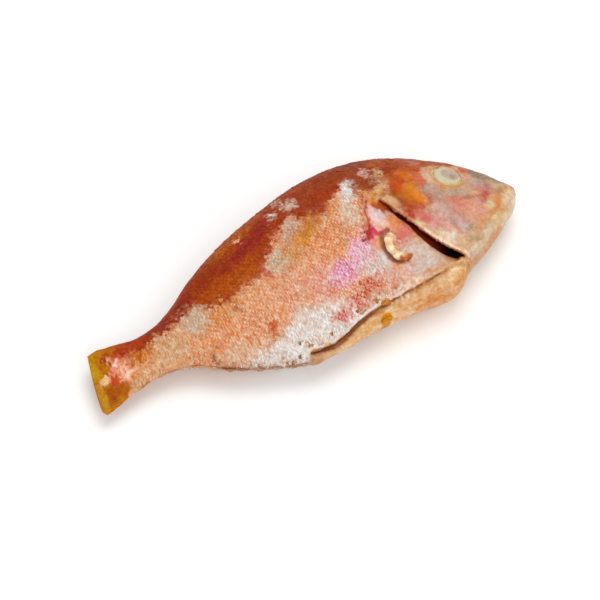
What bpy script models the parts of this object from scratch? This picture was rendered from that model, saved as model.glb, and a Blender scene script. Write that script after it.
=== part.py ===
"""A whole raw sea bream, dressed for the kitchen: scaled, gutted, and with its fins cut back to stubs.

The fish is modelled upright and symmetric first, in its own axes: x from tail to snout, y from belly to
back, z out of the mid-plane towards the right flank. Openings are cut there. Then lay_down() puts it on
its left flank, lets the tail and snout sink a little and flattens what the table carries.
Metres, +Z up. The origin is on the table, under the middle of the bounding box.
"""

import math
from collections import namedtuple

import bmesh
import bpy
import numpy as np
from mathutils import Vector

# Lines of the body, as (x, y) or (x, size) points that a smooth curve runs through.
TAIL_END = -0.1255
SNOUT = 0.1415
SNOUT_START = 0.1265
SNOUT_HEIGHT = 0.0060
BACK_LINE = [
    (-0.1255, 0.0217), (-0.108, 0.0183), (-0.088, 0.0225), (-0.066, 0.0358), (-0.040, 0.0481),
    (-0.010, 0.0575), (0.020, 0.0643), (0.048, 0.0655), (0.075, 0.0600), (0.097, 0.0488),
    (0.118, 0.0340), (0.132, 0.0205), (0.1415, 0.0140),
]
BELLY_LINE = [
    (-0.1255, -0.0117), (-0.108, -0.0095), (-0.088, -0.0132), (-0.068, -0.0268), (-0.045, -0.0385),
    (-0.025, -0.0455), (-0.013, -0.0462), (0.020, -0.0428), (0.050, -0.0420), (0.075, -0.0412),
    (0.081, -0.0372), (0.086, -0.0328), (0.093, -0.0302), (0.110, -0.0222), (0.128, -0.0118),
    (0.1415, -0.0040),
]
HALF_WIDTH = [
    (-0.1255, 0.0042), (-0.108, 0.0064), (-0.088, 0.0092), (-0.066, 0.0132), (-0.040, 0.0178),
    (-0.010, 0.0214), (0.020, 0.0230), (0.050, 0.0230), (0.078, 0.0212), (0.097, 0.0178),
    (0.115, 0.0138), (0.130, 0.0096), (0.1415, 0.0066),
]
# Share of the depth, from the belly up, at which a section is widest.
WIDEST_AT = [(-0.1255, 0.50), (-0.060, 0.52), (0.020, 0.50), (0.070, 0.46), (0.110, 0.42), (0.1415, 0.45)]
# Superellipse powers of the section above and below its widest point: 2 is an ellipse, more is boxy.
BACK_POWER = [(-0.1255, 2.0), (-0.040, 1.90), (0.040, 1.95), (0.100, 1.85), (0.1415, 2.0)]
BELLY_POWER = [
    (-0.1255, 2.0), (-0.060, 1.85), (-0.010, 1.95), (0.030, 2.5), (0.070, 3.0), (0.092, 2.5),
    (0.115, 2.1), (0.1415, 2.0),
]

# How it lies.
MID_PLANE_HEIGHT = 0.0188
BELLY_TILT = math.radians(5.0)
SINK = [
    (-0.1480, -0.0080), (-0.105, -0.0055), (-0.060, -0.0018), (-0.020, 0.0), (0.070, 0.0),
    (0.110, -0.0015), (0.1415, -0.0040),
]
TABLE_SOFTNESS = 0.0014
CENTRE = (-0.0016, 0.0098)

GAP = 0.0003
STATIONS = 50
AROUND = 36

# Free edges that part from the body: the gill cover, from its top to the throat, and the upper belly flap,
# from the vent to the throat. A slot runs in under each edge, and the body is hollowed beside it.
GILL_EDGE = [
    (0.0512, 0.0225), (0.0550, 0.0160), (0.0590, 0.0080), (0.0625, 0.0005), (0.0660, -0.0090),
    (0.0705, -0.0180), (0.0760, -0.0250), (0.0835, -0.0300),
]
BELLY_EDGE = [
    (-0.0275, -0.0414), (-0.0190, -0.0428), (-0.0120, -0.0432), (-0.0050, -0.0421), (0.0040, -0.0396),
    (0.0150, -0.0374), (0.0290, -0.0366), (0.0480, -0.0358), (0.0640, -0.0348), (0.0705, -0.0330),
]
# Each is (at the start of the edge, at its end): thickness of the edge, opening of the slot, length of the
# hollow beside it, reach of the slot under the edge and its depth there.
Flap = namedtuple("Flap", "edge steps thick opening hollow reach depth")
GILL_COVER = Flap(
    GILL_EDGE, 18, (0.0012, 0.0016), (0.0013, 0.0044), (0.0036, 0.0084), (0.0045, 0.0090), (0.0030, 0.0056)
)
BELLY_FLAP = Flap(
    BELLY_EDGE, 20, (0.0011, 0.0012), (0.0014, 0.0006), (0.0036, 0.0034), (0.0056, 0.0036), (0.0036, 0.0024)
)
CUTTER_PROUD = 0.0100

MOUTH_LINE = [(0.1500, 0.0058), (0.1400, 0.0004), (0.1320, -0.0046), (0.1240, -0.0092), (0.1165, -0.0130)]
MOUTH_GAP = 0.0007

Eye = namedtuple("Eye", "x y radius depth proud")
EYE = Eye(x=0.1026, y=0.0229, radius=0.0112, depth=0.0058, proud=0.0010)

# Fins cut back to stubs: the place on the flank, half sizes along and across, thickness, lift in degrees,
# and how deep the outer face is dished inside its thick rim.
Stub = namedtuple("Stub", "x y reach height thickness lift dish")
PECTORAL = Stub(x=0.0478, y=-0.0095, reach=0.0082, height=0.0102, thickness=0.0046, lift=18.0, dish=0.75)
RIGHT_PELVIC = Stub(x=0.0248, y=-0.0364, reach=0.0030, height=0.0020, thickness=0.0034, lift=0.0, dish=0.0)
LEFT_PELVIC = Stub(x=0.0228, y=-0.0422, reach=0.0038, height=0.0022, thickness=0.0030, lift=0.0, dish=0.0)

# Tail fin, cut off short of its fork: x of the cut at the upper and lower edge.
TAIL_CUT_UPPER = -0.1372
TAIL_CUT_LOWER = -0.1452
TAIL_TOP = [(0.0, 0.0217), (0.45, 0.0228), (1.0, 0.0222)]
TAIL_BOTTOM = [(0.0, -0.0117), (0.5, -0.0146), (1.0, -0.0168)]
TAIL_THICKNESS = [(0.0, 0.0040), (0.5, 0.0024), (1.0, 0.0012)]
TAIL_STEPS = 10
TAIL_AROUND = 32

SKIN = ("skin", (0.78, 0.42, 0.28), 0.45)
CORNEA = ("eye", (0.78, 0.76, 0.68), 0.25)
FIN_BASE = ("fin_base", (0.85, 0.66, 0.46), 0.50)
TAIL_WEB = ("tail_web", (0.78, 0.50, 0.10), 0.50)


def line_at(points, at):
    """Height of the smooth curve through the points, at one or many places along it."""
    xs, ys = np.array(points).T
    slopes = np.gradient(ys, xs)
    at = np.clip(at, xs[0], xs[-1])
    i = np.clip(np.searchsorted(xs, at) - 1, 0, len(xs) - 2)
    span = xs[i + 1] - xs[i]
    t = (at - xs[i]) / span
    start = ys[i] * (1 + 2 * t) * (1 - t) ** 2 + slopes[i] * span * t * (1 - t) ** 2
    end = ys[i + 1] * t**2 * (3 - 2 * t) + slopes[i + 1] * span * t**2 * (t - 1)
    return start + end


def snout_share(x):
    """1 along the body, falling to 0 at the tip of the snout, as a quarter circle does."""
    past = np.clip((x - SNOUT_START) / (SNOUT - SNOUT_START), 0.0, 1.0)
    return np.sqrt(1.0 - past**2)


def section_at(x):
    """(top, bottom, widest height, half width, power above, power below) of the section at x."""
    share = snout_share(x)
    top = SNOUT_HEIGHT + share * (line_at(BACK_LINE, x) - SNOUT_HEIGHT)
    bottom = SNOUT_HEIGHT + share * (line_at(BELLY_LINE, x) - SNOUT_HEIGHT)
    widest = bottom + line_at(WIDEST_AT, x) * (top - bottom)
    half = share * line_at(HALF_WIDTH, x)
    return top, bottom, widest, half, line_at(BACK_POWER, x), line_at(BELLY_POWER, x)


def ring_at(x, count, grow=0.0):
    """The section at x as count points, anticlockwise seen from the snout."""
    top, bottom, widest, half, above, below = section_at(x)
    points = []
    for k in range(count):
        angle = 2 * math.pi * (k + 0.5) / count
        up, out = math.sin(angle), math.cos(angle)
        power = 2 / (above if up > 0 else below)
        reach = (top - widest if up > 0 else widest - bottom) + grow
        y = widest + reach * math.copysign(abs(up) ** power, up)
        z = (half + grow) * math.copysign(abs(out) ** power, out)
        points.append((x, y, z))
    return points


def flank_point(x, y, side):
    """The point of the skin at x and y, on the right (+1) or left (-1) flank."""
    top, bottom, widest, half, above, below = section_at(x)
    power, reach = (above, top - widest) if y > widest else (below, widest - bottom)
    share = min(abs(y - widest) / reach, 1.0)
    return Vector((x, y, side * half * (1 - share**power) ** (1 / power)))


def flank_normal(x, y, side):
    step = 0.0008
    along = flank_point(x + step, y, side) - flank_point(x - step, y, side)
    up = flank_point(x, y + step, side) - flank_point(x, y - step, side)
    return side * along.cross(up).normalized()


def material(look):
    name, colour, roughness = look
    made = bpy.data.materials.get(name) or bpy.data.materials.new(name)
    made.use_nodes = True
    shader = made.node_tree.nodes["Principled BSDF"]
    shader.inputs["Base Color"].default_value = (*colour, 1.0)
    shader.inputs["Roughness"].default_value = roughness
    return made


def add_object(name, mesh, collection, look=None):
    thing = bpy.data.objects.new(name, mesh)
    collection.objects.link(thing)
    if look:
        mesh.materials.clear()
        mesh.materials.append(material(look))
    else:
        thing.hide_render = True
        thing.display_type = "WIRE"
    return thing


def loft(name, rings, collection, look=None):
    """A closed mesh through rings of equal length, with flat ends."""
    work = bmesh.new()
    loops = [[work.verts.new(p) for p in ring] for ring in rings]
    for near, far in zip(loops, loops[1:]):
        for k in range(len(near)):
            after = (k + 1) % len(near)
            work.faces.new((near[k], near[after], far[after], far[k]))
    work.faces.new(loops[0])
    work.faces.new(loops[-1])
    return finish(name, work, collection, look)


def finish(name, work, collection, look):
    bmesh.ops.remove_doubles(work, verts=work.verts, dist=1e-6)
    bmesh.ops.triangulate(work, faces=[f for f in work.faces if len(f.verts) > 4])
    bmesh.ops.recalc_face_normals(work, faces=work.faces)
    mesh = bpy.data.meshes.new(name)
    work.to_mesh(mesh)
    work.free()
    return add_object(name, mesh, collection, look)


def ellipsoid(name, centre, axes, sizes, collection, look=None, detail=(24, 12), dish=0.0):
    """An ellipsoid of these half sizes along the three unit axes. A dished one keeps a thick rim."""
    work = bmesh.new()
    bmesh.ops.create_uvsphere(work, u_segments=detail[0], v_segments=detail[1], radius=1.0)
    for v in work.verts:
        if dish:
            far = min(math.hypot(v.co.x, v.co.y), 1.0)
            full = math.sqrt(1 - far**5)
            v.co.z = full * (1 - dish * (1 - far**2)) if v.co.z > 0 else -full
        offset = sum((axis * size * share for axis, size, share in zip(axes, sizes, v.co)), Vector())
        v.co = centre + offset
    return finish(name, work, collection, look)


def boolean(thing, cutter, operation="DIFFERENCE"):
    step = thing.modifiers.new(cutter.name, "BOOLEAN")
    step.object = cutter
    step.operation = operation
    step.solver = "EXACT"


def apply_modifiers(thing):
    """Replaces the object's mesh by what its modifiers make of it."""
    graph = bpy.context.evaluated_depsgraph_get()
    mesh = bpy.data.meshes.new_from_object(thing.evaluated_get(graph))
    thing.modifiers.clear()
    thing.data = mesh


def body_rings(grow=0.0):
    """Sections from the tail's root to the snout, closer together where the snout rounds off."""
    straight = np.linspace(TAIL_END, SNOUT_START, STATIONS)
    round_off = SNOUT_START + (SNOUT - SNOUT_START) * np.sin(np.linspace(0.0, 0.485 * math.pi, 8)[1:])
    return [ring_at(x, AROUND, grow) for x in (*straight, *round_off)]


def flap_cutter(name, flap, side, collection):
    """The slot under a flap's free edge, with the hollow beside the edge."""
    xs, ys = np.array(flap.edge).T
    along = np.linspace(0.0, 1.0, len(xs))
    x_along, y_along = list(zip(along, xs)), list(zip(along, ys))
    rings = []
    for t in np.linspace(0.0, 1.0, flap.steps):
        edge, before, after = (
            flank_point(line_at(x_along, at), line_at(y_along, at), side)
            for at in (t, max(t - 0.04, 0.0), min(t + 0.04, 1.0))
        )
        normal = flank_normal(edge.x, edge.y, side)
        away = side * (after - before).cross(normal).normalized()
        thick, opening, hollow, reach, depth = (low + (high - low) * t for low, high in flap[2:])
        profile = [
            (-reach, depth),
            (0.0, thick),
            (0.0, -CUTTER_PROUD),
            (hollow * 1.1, -CUTTER_PROUD),
            (hollow, -0.0002),
            (hollow * 0.62, 0.62 * (thick + opening)),
            (0.0, thick + opening),
            (-reach, depth + opening),
        ]
        rings.append([edge + away * out - normal * deep for out, deep in profile])
    return loft(name, rings, collection)


def mouth_cutter(collection):
    """A thin curved slab through the snout, which parts the lips."""
    upper = [(x, y + MOUTH_GAP / 2) for x, y in MOUTH_LINE]
    lower = [(x, y - MOUTH_GAP / 2) for x, y in reversed(MOUTH_LINE)]
    width = 0.030
    return loft("mouth_slit", [[(x, y, z) for x, y in upper + lower] for z in (-width, width)], collection)


def eye_axes(side):
    """Two axes in the eye's plane and the one it looks along."""
    out = flank_normal(EYE.x, EYE.y, side)
    fore = (Vector((1.0, 0.0, 0.0)) - out * out.x).normalized()
    return fore, out.cross(fore), out


def eye_shape(name, side, grow, collection, look=None):
    fore, up, out = eye_axes(side)
    centre = flank_point(EYE.x, EYE.y, side) + out * (EYE.proud - EYE.depth)
    sizes = (EYE.radius + grow, EYE.radius + grow, EYE.depth + grow)
    return ellipsoid(name, centre, (fore, up, out), sizes, collection, look)


def stub(name, size, foot, collection, bare_body, detail=(24, 12)):
    """A fin cut back to a fleshy lobe that stands on the body at foot, and lifts off towards its rear."""
    out = flank_normal(foot.x, foot.y, 1)
    rear = (Vector((-1.0, 0.0, 0.0)) + out * out.x).normalized()
    up = out.cross(rear).normalized()
    lift = math.radians(size.lift)
    long_axis = rear * math.cos(lift) + out * math.sin(lift)
    axes = (long_axis, up, long_axis.cross(up))
    sizes = (size.reach, size.height, size.thickness / 2)
    lobe = ellipsoid(name, foot + out * 0.0006, axes, sizes, collection, FIN_BASE, detail, size.dish)
    boolean(lobe, bare_body)
    apply_modifiers(lobe)
    return lobe


def pressed_stub(name, grow, collection, look=None):
    """The left pectoral stub: folded flat and pressed into the flank, with its outer face on the table."""
    middle = laid(flank_point(PECTORAL.x - 0.002, PECTORAL.y, -1))
    reach, height = PECTORAL.reach * 0.7 + grow, PECTORAL.height + grow
    angles = [2 * math.pi * k / 24 for k in range(24)]
    outline = [(middle.x + reach * math.cos(a), middle.y + height * math.sin(a)) for a in angles]
    levels = (-0.002 if grow else 0.0, PECTORAL.thickness * 0.7 + grow)
    return loft(name, [[(x, y, z) for x, y in outline] for z in levels], collection, look)


def tail_fin(collection):
    """The root of the tail fin, thinning from the fleshy tail to the straight cut through its rays."""
    rings = []
    for share in np.linspace(0.0, 1.0, TAIL_STEPS):
        top, bottom = line_at(TAIL_TOP, share), line_at(TAIL_BOTTOM, share)
        thickness = line_at(TAIL_THICKNESS, share)
        ring = []
        for k in range(TAIL_AROUND):
            angle = 2 * math.pi * k / TAIL_AROUND
            height = (1 + math.sin(angle)) / 2
            cut = TAIL_CUT_LOWER + (TAIL_CUT_UPPER - TAIL_CUT_LOWER) * height
            start = TAIL_END - GAP
            x = start + share * (cut - start)
            flat = math.copysign(abs(math.cos(angle)) ** 0.6, math.cos(angle))
            ring.append((x, bottom + (top - bottom) * height, thickness * flat))
        rings.append(ring)
    return loft("tail_fin", rings, collection, TAIL_WEB)


def laid(point):
    """Where a point of the upright fish goes when it lies on its left flank."""
    x, y, z = point
    tilt = BELLY_TILT
    across = y * math.cos(tilt) - z * math.sin(tilt)
    height = MID_PLANE_HEIGHT + line_at(SINK, x) + y * math.sin(tilt) + z * math.cos(tilt)
    if height < -TABLE_SOFTNESS:
        height = 0.0
    elif height < TABLE_SOFTNESS:
        height = (height + TABLE_SOFTNESS) ** 2 / (4 * TABLE_SOFTNESS)
    return Vector((x - CENTRE[0], across - CENTRE[1], height))


def lay_down(thing):
    for v in thing.data.vertices:
        v.co = laid(v.co)


def shade(thing):
    thing.data.shade_smooth()
    thing.data.set_sharp_from_angle(angle=math.radians(40))


def main():
    for old in list(bpy.data.objects):
        bpy.data.objects.remove(old)
    fish = bpy.data.collections.new("sea_bream")
    cutters = bpy.data.collections.new("cutters")
    for collection in (fish, cutters):
        bpy.context.scene.collection.children.link(collection)
    cutters.hide_render = True

    body = loft("body", body_rings(), fish, SKIN)
    bare_body = loft("bare_body", body_rings(GAP), cutters)
    tools = [
        flap_cutter("gill_slot_right", GILL_COVER, 1, cutters),
        flap_cutter("gill_slot_left", GILL_COVER, -1, cutters),
        flap_cutter("belly_slit", BELLY_FLAP, 1, cutters),
        mouth_cutter(cutters),
        eye_shape("right_socket", 1, GAP, cutters),
        eye_shape("left_socket", -1, GAP, cutters),
    ]
    for tool in tools:
        boolean(body, tool)
    apply_modifiers(body)

    eyes = [eye_shape("right_eye", 1, 0.0, fish, CORNEA), eye_shape("left_eye", -1, 0.0, fish, CORNEA)]
    on_flank = flank_point(PECTORAL.x, PECTORAL.y, 1)
    on_upper_flap = flank_point(RIGHT_PELVIC.x, RIGHT_PELVIC.y, 1)
    on_lower_flap = flank_point(LEFT_PELVIC.x, LEFT_PELVIC.y, 1)
    fins = [
        stub("right_pectoral_fin", PECTORAL, on_flank, fish, bare_body),
        stub("right_pelvic_fin", RIGHT_PELVIC, on_upper_flap, fish, bare_body, (16, 10)),
        stub("left_pelvic_fin", LEFT_PELVIC, on_lower_flap, fish, bare_body, (16, 10)),
        tail_fin(fish),
    ]
    for thing in [body, *eyes, *fins]:
        lay_down(thing)

    boolean(body, pressed_stub("stub_recess", GAP, cutters))
    apply_modifiers(body)
    fins.append(pressed_stub("left_pectoral_fin", 0.0, fish, FIN_BASE))
    for thing in [body, *eyes, *fins]:
        shade(thing)


main()
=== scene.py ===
import math
from collections import namedtuple

import bmesh
import bpy
import numpy as np
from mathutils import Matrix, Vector


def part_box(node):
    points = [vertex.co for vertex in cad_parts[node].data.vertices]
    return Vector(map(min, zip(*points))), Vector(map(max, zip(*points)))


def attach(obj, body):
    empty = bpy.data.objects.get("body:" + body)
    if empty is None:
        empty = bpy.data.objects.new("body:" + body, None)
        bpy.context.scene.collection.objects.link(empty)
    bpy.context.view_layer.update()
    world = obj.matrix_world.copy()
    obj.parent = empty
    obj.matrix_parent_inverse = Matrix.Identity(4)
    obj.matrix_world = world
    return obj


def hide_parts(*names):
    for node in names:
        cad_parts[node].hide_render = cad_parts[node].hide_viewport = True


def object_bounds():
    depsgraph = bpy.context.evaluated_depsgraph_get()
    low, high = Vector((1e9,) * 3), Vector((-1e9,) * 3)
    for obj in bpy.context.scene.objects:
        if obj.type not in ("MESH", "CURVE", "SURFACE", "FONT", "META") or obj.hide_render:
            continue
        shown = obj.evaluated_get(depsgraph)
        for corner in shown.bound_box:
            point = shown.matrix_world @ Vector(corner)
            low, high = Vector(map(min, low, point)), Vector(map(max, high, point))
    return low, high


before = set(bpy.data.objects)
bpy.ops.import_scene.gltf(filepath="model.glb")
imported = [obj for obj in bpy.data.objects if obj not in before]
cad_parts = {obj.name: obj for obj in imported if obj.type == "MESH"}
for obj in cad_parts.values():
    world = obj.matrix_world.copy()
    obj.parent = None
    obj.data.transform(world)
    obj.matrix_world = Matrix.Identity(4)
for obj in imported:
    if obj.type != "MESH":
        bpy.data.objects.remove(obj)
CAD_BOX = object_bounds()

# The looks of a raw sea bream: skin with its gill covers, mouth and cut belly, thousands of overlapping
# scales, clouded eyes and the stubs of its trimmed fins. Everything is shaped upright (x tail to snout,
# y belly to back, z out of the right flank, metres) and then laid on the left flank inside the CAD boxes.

MM = 0.001

# ---------------------------------------------------------------------------------------------------
# Measures of the fish
# ---------------------------------------------------------------------------------------------------

TAIL_END, SNOUT, SNOUT_START, SNOUT_HEIGHT = -0.1255, 0.1415, 0.1265, 0.0060
BACK_LINE = [
    (-0.1255, 0.0217), (-0.108, 0.0183), (-0.088, 0.0225), (-0.066, 0.0358), (-0.040, 0.0481),
    (-0.010, 0.0575), (0.020, 0.0643), (0.048, 0.0655), (0.075, 0.0600), (0.097, 0.0488),
    (0.118, 0.0338), (0.132, 0.0190), (0.1415, 0.0100),
]
BELLY_LINE = [
    (-0.1255, -0.0117), (-0.108, -0.0095), (-0.088, -0.0132), (-0.068, -0.0268), (-0.045, -0.0385),
    (-0.025, -0.0455), (-0.013, -0.0462), (0.020, -0.0428), (0.050, -0.0420), (0.075, -0.0412),
    (0.081, -0.0372), (0.086, -0.0328), (0.093, -0.0302), (0.110, -0.0222), (0.128, -0.0118),
    (0.1415, -0.0040),
]
HALF_WIDTH = [
    (-0.1255, 0.0042), (-0.108, 0.0064), (-0.088, 0.0092), (-0.066, 0.0132), (-0.040, 0.0178),
    (-0.010, 0.0214), (0.020, 0.0230), (0.050, 0.0230), (0.078, 0.0212), (0.097, 0.0178),
    (0.115, 0.0138), (0.130, 0.0096), (0.1415, 0.0066),
]
WIDEST_AT = [(-0.1255, 0.50), (-0.060, 0.52), (0.020, 0.50), (0.070, 0.46), (0.110, 0.42), (0.1415, 0.45)]
BACK_POWER = [(-0.1255, 2.0), (-0.040, 1.90), (0.040, 1.95), (0.100, 1.85), (0.1415, 2.0)]
BELLY_POWER = [
    (-0.1255, 2.0), (-0.060, 1.85), (-0.010, 1.95), (0.030, 2.5), (0.070, 3.0), (0.092, 2.5),
    (0.115, 2.1), (0.1415, 2.0),
]

MID_PLANE_HEIGHT, BELLY_TILT, TABLE_SOFTNESS = 0.0188, math.radians(5.0), 0.0014
SINK = [
    (-0.1480, -0.0080), (-0.105, -0.0055), (-0.060, -0.0018), (-0.020, 0.0), (0.070, 0.0),
    (0.110, -0.0015), (0.1415, -0.0040),
]

GILL_EDGE = [
    (0.0542, 0.0230), (0.0568, 0.0160), (0.0594, 0.0080), (0.0625, 0.0005), (0.0660, -0.0090),
    (0.0705, -0.0180), (0.0760, -0.0250), (0.0835, -0.0300),
]
BELLY_EDGE = [
    (-0.0275, -0.0414), (-0.0190, -0.0428), (-0.0120, -0.0432), (-0.0050, -0.0421), (0.0040, -0.0396),
    (0.0150, -0.0374), (0.0290, -0.0366), (0.0480, -0.0358), (0.0640, -0.0348), (0.0705, -0.0330),
]
# From the start of the edge to its end: thickness, opening, hollow beside it, reach under it, depth there,
# and how ragged the edge is.
Flap = namedtuple("Flap", "edge thick opening hollow reach depth ragged")
GILL_COVER = Flap(
    GILL_EDGE, (0.0010, 0.0014), (0.0017, 0.0044), (0.0054, 0.0050, 0.0036, 0.0038, 0.0052, 0.0066, 0.0078, 0.0084),
    (0.0040, 0.0088), (0.0026, 0.0054), 0.0011
)
BELLY_FLAP = Flap(
    BELLY_EDGE, (0.0017, 0.0014), (0.0015, 0.0004), (0.0034, 0.0020), (0.0050, 0.0030), (0.0040, 0.0024), 0.0005
)
MOUTH_LINE = [(0.1500, 0.0058), (0.1400, 0.0004), (0.1320, -0.0046), (0.1240, -0.0092), (0.1165, -0.0130)]

Eye = namedtuple("Eye", "x y radius depth proud")
EYE = Eye(x=0.1026, y=0.0229, radius=0.0112, depth=0.0058, proud=0.0010)
Stub = namedtuple("Stub", "x y reach height thickness lift dish")
PECTORAL = Stub(x=0.0470, y=-0.0118, reach=0.0082, height=0.0104, thickness=0.0040, lift=14.0, dish=0.75)
RIGHT_PELVIC = Stub(x=0.0248, y=-0.0364, reach=0.0030, height=0.0018, thickness=0.0024, lift=0.0, dish=0.0)
LEFT_PELVIC = Stub(x=0.0228, y=-0.0422, reach=0.0038, height=0.0022, thickness=0.0030, lift=0.0, dish=0.0)

TAIL_CUT_UPPER, TAIL_CUT_LOWER = -0.1372, -0.1452
TAIL_TOP = [(0.0, 0.0217), (0.45, 0.0228), (1.0, 0.0222)]
TAIL_BOTTOM = [(0.0, -0.0117), (0.5, -0.0146), (1.0, -0.0168)]
TAIL_THICKNESS = [(0.0, 0.0040), (0.5, 0.0024), (1.0, 0.0012)]


# ---------------------------------------------------------------------------------------------------
# Form of the body
# ---------------------------------------------------------------------------------------------------


def line_at(points, at):
    """Height of the smooth curve through the points, at one or many places along it."""
    xs, ys = np.array(points).T
    slopes = np.gradient(ys, xs)
    at = np.clip(at, xs[0], xs[-1])
    i = np.clip(np.searchsorted(xs, at) - 1, 0, len(xs) - 2)
    span = xs[i + 1] - xs[i]
    t = (at - xs[i]) / span
    start = ys[i] * (1 + 2 * t) * (1 - t) ** 2 + slopes[i] * span * t * (1 - t) ** 2
    end = ys[i + 1] * t**2 * (3 - 2 * t) + slopes[i + 1] * span * t**2 * (t - 1)
    return start + end


def ramp(values, low, high):
    """0 at low, 1 at high, with a soft start and end. High may be the smaller one."""
    t = np.clip((values - low) / (high - low), 0.0, 1.0)
    return t * t * (3 - 2 * t)


def cloud(points, size, seed):
    """Smooth random values from -1 to 1, in lumps of this size."""
    at = np.asarray(points, float) / size + 57.0 * seed
    cell = np.floor(at).astype(np.int64)
    share = at - cell
    share = share * share * (3 - 2 * share)
    total = 0.0
    for corner in np.ndindex(*(2,) * at.shape[-1]):
        key = np.zeros(at.shape[:-1], np.int64)
        weight = np.ones(at.shape[:-1])
        for axis, step in enumerate(corner):
            key = key * 1_000_003 + (cell[..., axis] + step) * 7_919
            weight = weight * (share[..., axis] if step else 1 - share[..., axis])
        key = (key ^ (key >> 13)) * 1_274_126_177
        key = (key ^ (key >> 16)) & 0xFFFF
        total = total + weight * key
    return total / 32_767.5 - 1.0


def section_at(x):
    """(top, bottom, widest height, half width, power above, power below) of the section at x."""
    past = np.clip((x - SNOUT_START) / (SNOUT - SNOUT_START), 0.0, 1.0)
    share = np.sqrt(1.0 - past**2)
    top = SNOUT_HEIGHT + share * (line_at(BACK_LINE, x) - SNOUT_HEIGHT)
    bottom = SNOUT_HEIGHT + share * (line_at(BELLY_LINE, x) - SNOUT_HEIGHT)
    widest = bottom + line_at(WIDEST_AT, x) * (top - bottom)
    return top, bottom, widest, share * line_at(HALF_WIDTH, x), line_at(BACK_POWER, x), line_at(BELLY_POWER, x)


def ring_at(x, count):
    """The section at x as count points, anticlockwise seen from the snout."""
    top, bottom, widest, half, above, below = section_at(x)
    angle = 2 * np.pi * (np.arange(count) + 0.5) / count
    up, out = np.sin(angle), np.cos(angle)
    power = 2 / np.where(up > 0, above, below)
    reach = np.where(up > 0, top - widest, widest - bottom)
    y = widest + reach * np.sign(up) * np.abs(up) ** power
    z = half * np.sign(out) * np.abs(out) ** power
    return np.stack([np.full(count, x), y, z], 1)


def depth_under_skin(points):
    """How far each point lies under the uncut skin, in metres."""
    x, y, z = points.T
    top, bottom, widest, half, above, below = section_at(np.minimum(x, SNOUT - 0.0002))
    over = y > widest
    power = np.where(over, above, below)
    reach = np.where(over, top - widest, widest - bottom)
    a, b = np.abs(y - widest) / reach + 1e-6, np.abs(z) / half + 1e-6
    level = a**power + b**power
    slope = power * np.hypot(a ** (power - 1) / reach, b ** (power - 1) / half)
    return (1 - level) / np.maximum(slope, 1e-6)


def flank_point(x, y, side):
    """The point of the skin at x and y, on the right (+1) or left (-1) flank."""
    top, bottom, widest, half, above, below = section_at(x)
    power, reach = (above, top - widest) if y > widest else (below, widest - bottom)
    share = min(abs(y - widest) / reach, 1.0)
    return Vector((x, y, side * half * (1 - share**power) ** (1 / power)))


def flank_normal(x, y, side):
    step = 0.0008
    along = flank_point(x + step, y, side) - flank_point(x - step, y, side)
    up = flank_point(x, y + step, side) - flank_point(x, y - step, side)
    return side * along.cross(up).normalized()


def along_line(line, count):
    """count points along a line of (x, y) points, evenly over its own points' numbering."""
    at = np.linspace(0.0, 1.0, len(line))
    xs, ys = np.array(line).T
    t = np.linspace(0.0, 1.0, count)
    return np.stack([line_at(list(zip(at, xs)), t), line_at(list(zip(at, ys)), t)], 1)


def off_line(line, x, y, count=90):
    """Distance from each (x, y) to the line, and the share of the line where it is nearest."""
    points = along_line(line, count)
    best, where, left = np.full(len(x), 1.0), np.zeros(len(x)), np.zeros(len(x))
    for k, ((ax, ay), (bx, by)) in enumerate(zip(points, points[1:])):
        dx, dy = bx - ax, by - ay
        t = np.clip(((x - ax) * dx + (y - ay) * dy) / (dx * dx + dy * dy), 0.0, 1.0)
        far = np.hypot(x - ax - t * dx, y - ay - t * dy)
        near = far < best
        best = np.where(near, far, best)
        where = np.where(near, (k + t) / (count - 1), where)
        left = np.where(near, np.sign(dx * (y - ay) - dy * (x - ax)), left)
    return best, where, left


# ---------------------------------------------------------------------------------------------------
# Lying on the table
# ---------------------------------------------------------------------------------------------------


def laid(points):
    """Upright points as they lie on the left flank, tail and snout sunk, flat where the table carries them."""
    x, y, z = np.asarray(points, float).T
    across = y * math.cos(BELLY_TILT) - z * math.sin(BELLY_TILT)
    height = MID_PLANE_HEIGHT + line_at(SINK, x) + y * math.sin(BELLY_TILT) + z * math.cos(BELLY_TILT)
    soft = (height + TABLE_SOFTNESS) ** 2 / (4 * TABLE_SOFTNESS)
    height = np.where(height < -TABLE_SOFTNESS, 0.0, np.where(height < TABLE_SOFTNESS, soft, height))
    return np.stack([x, across, height], 1)


def table_fit():
    """Scale and shift that bring the laid body into the CAD body's box."""
    stations = np.append(np.linspace(TAIL_END, SNOUT_START, 80), SNOUT - 0.00003)
    body = laid(np.concatenate([ring_at(x, 120) for x in stations]))
    low, high = (np.array(corner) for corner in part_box("body"))
    scale = (high - low) / (body.max(0) - body.min(0))
    scale[2] = 1.0
    shift = low - body.min(0) * scale
    shift[2] = 0.0
    return scale, shift


FIT_SCALE, FIT_SHIFT = table_fit()


def coordinates(mesh):
    found = np.empty(len(mesh.vertices) * 3, np.float32)
    mesh.vertices.foreach_get("co", found)
    return found.reshape(-1, 3).astype(float)


def move_vertices(mesh, points):
    mesh.vertices.foreach_set("co", np.asarray(points, np.float32).ravel())
    mesh.update()


def lay_down(mesh):
    move_vertices(mesh, laid(coordinates(mesh)) * FIT_SCALE + FIT_SHIFT)


# ---------------------------------------------------------------------------------------------------
# Mesh helpers
# ---------------------------------------------------------------------------------------------------


def new_object(name, mesh, hidden=False):
    thing = bpy.data.objects.new(name, mesh)
    bpy.context.scene.collection.objects.link(thing)
    thing.hide_render = hidden
    return thing


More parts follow.
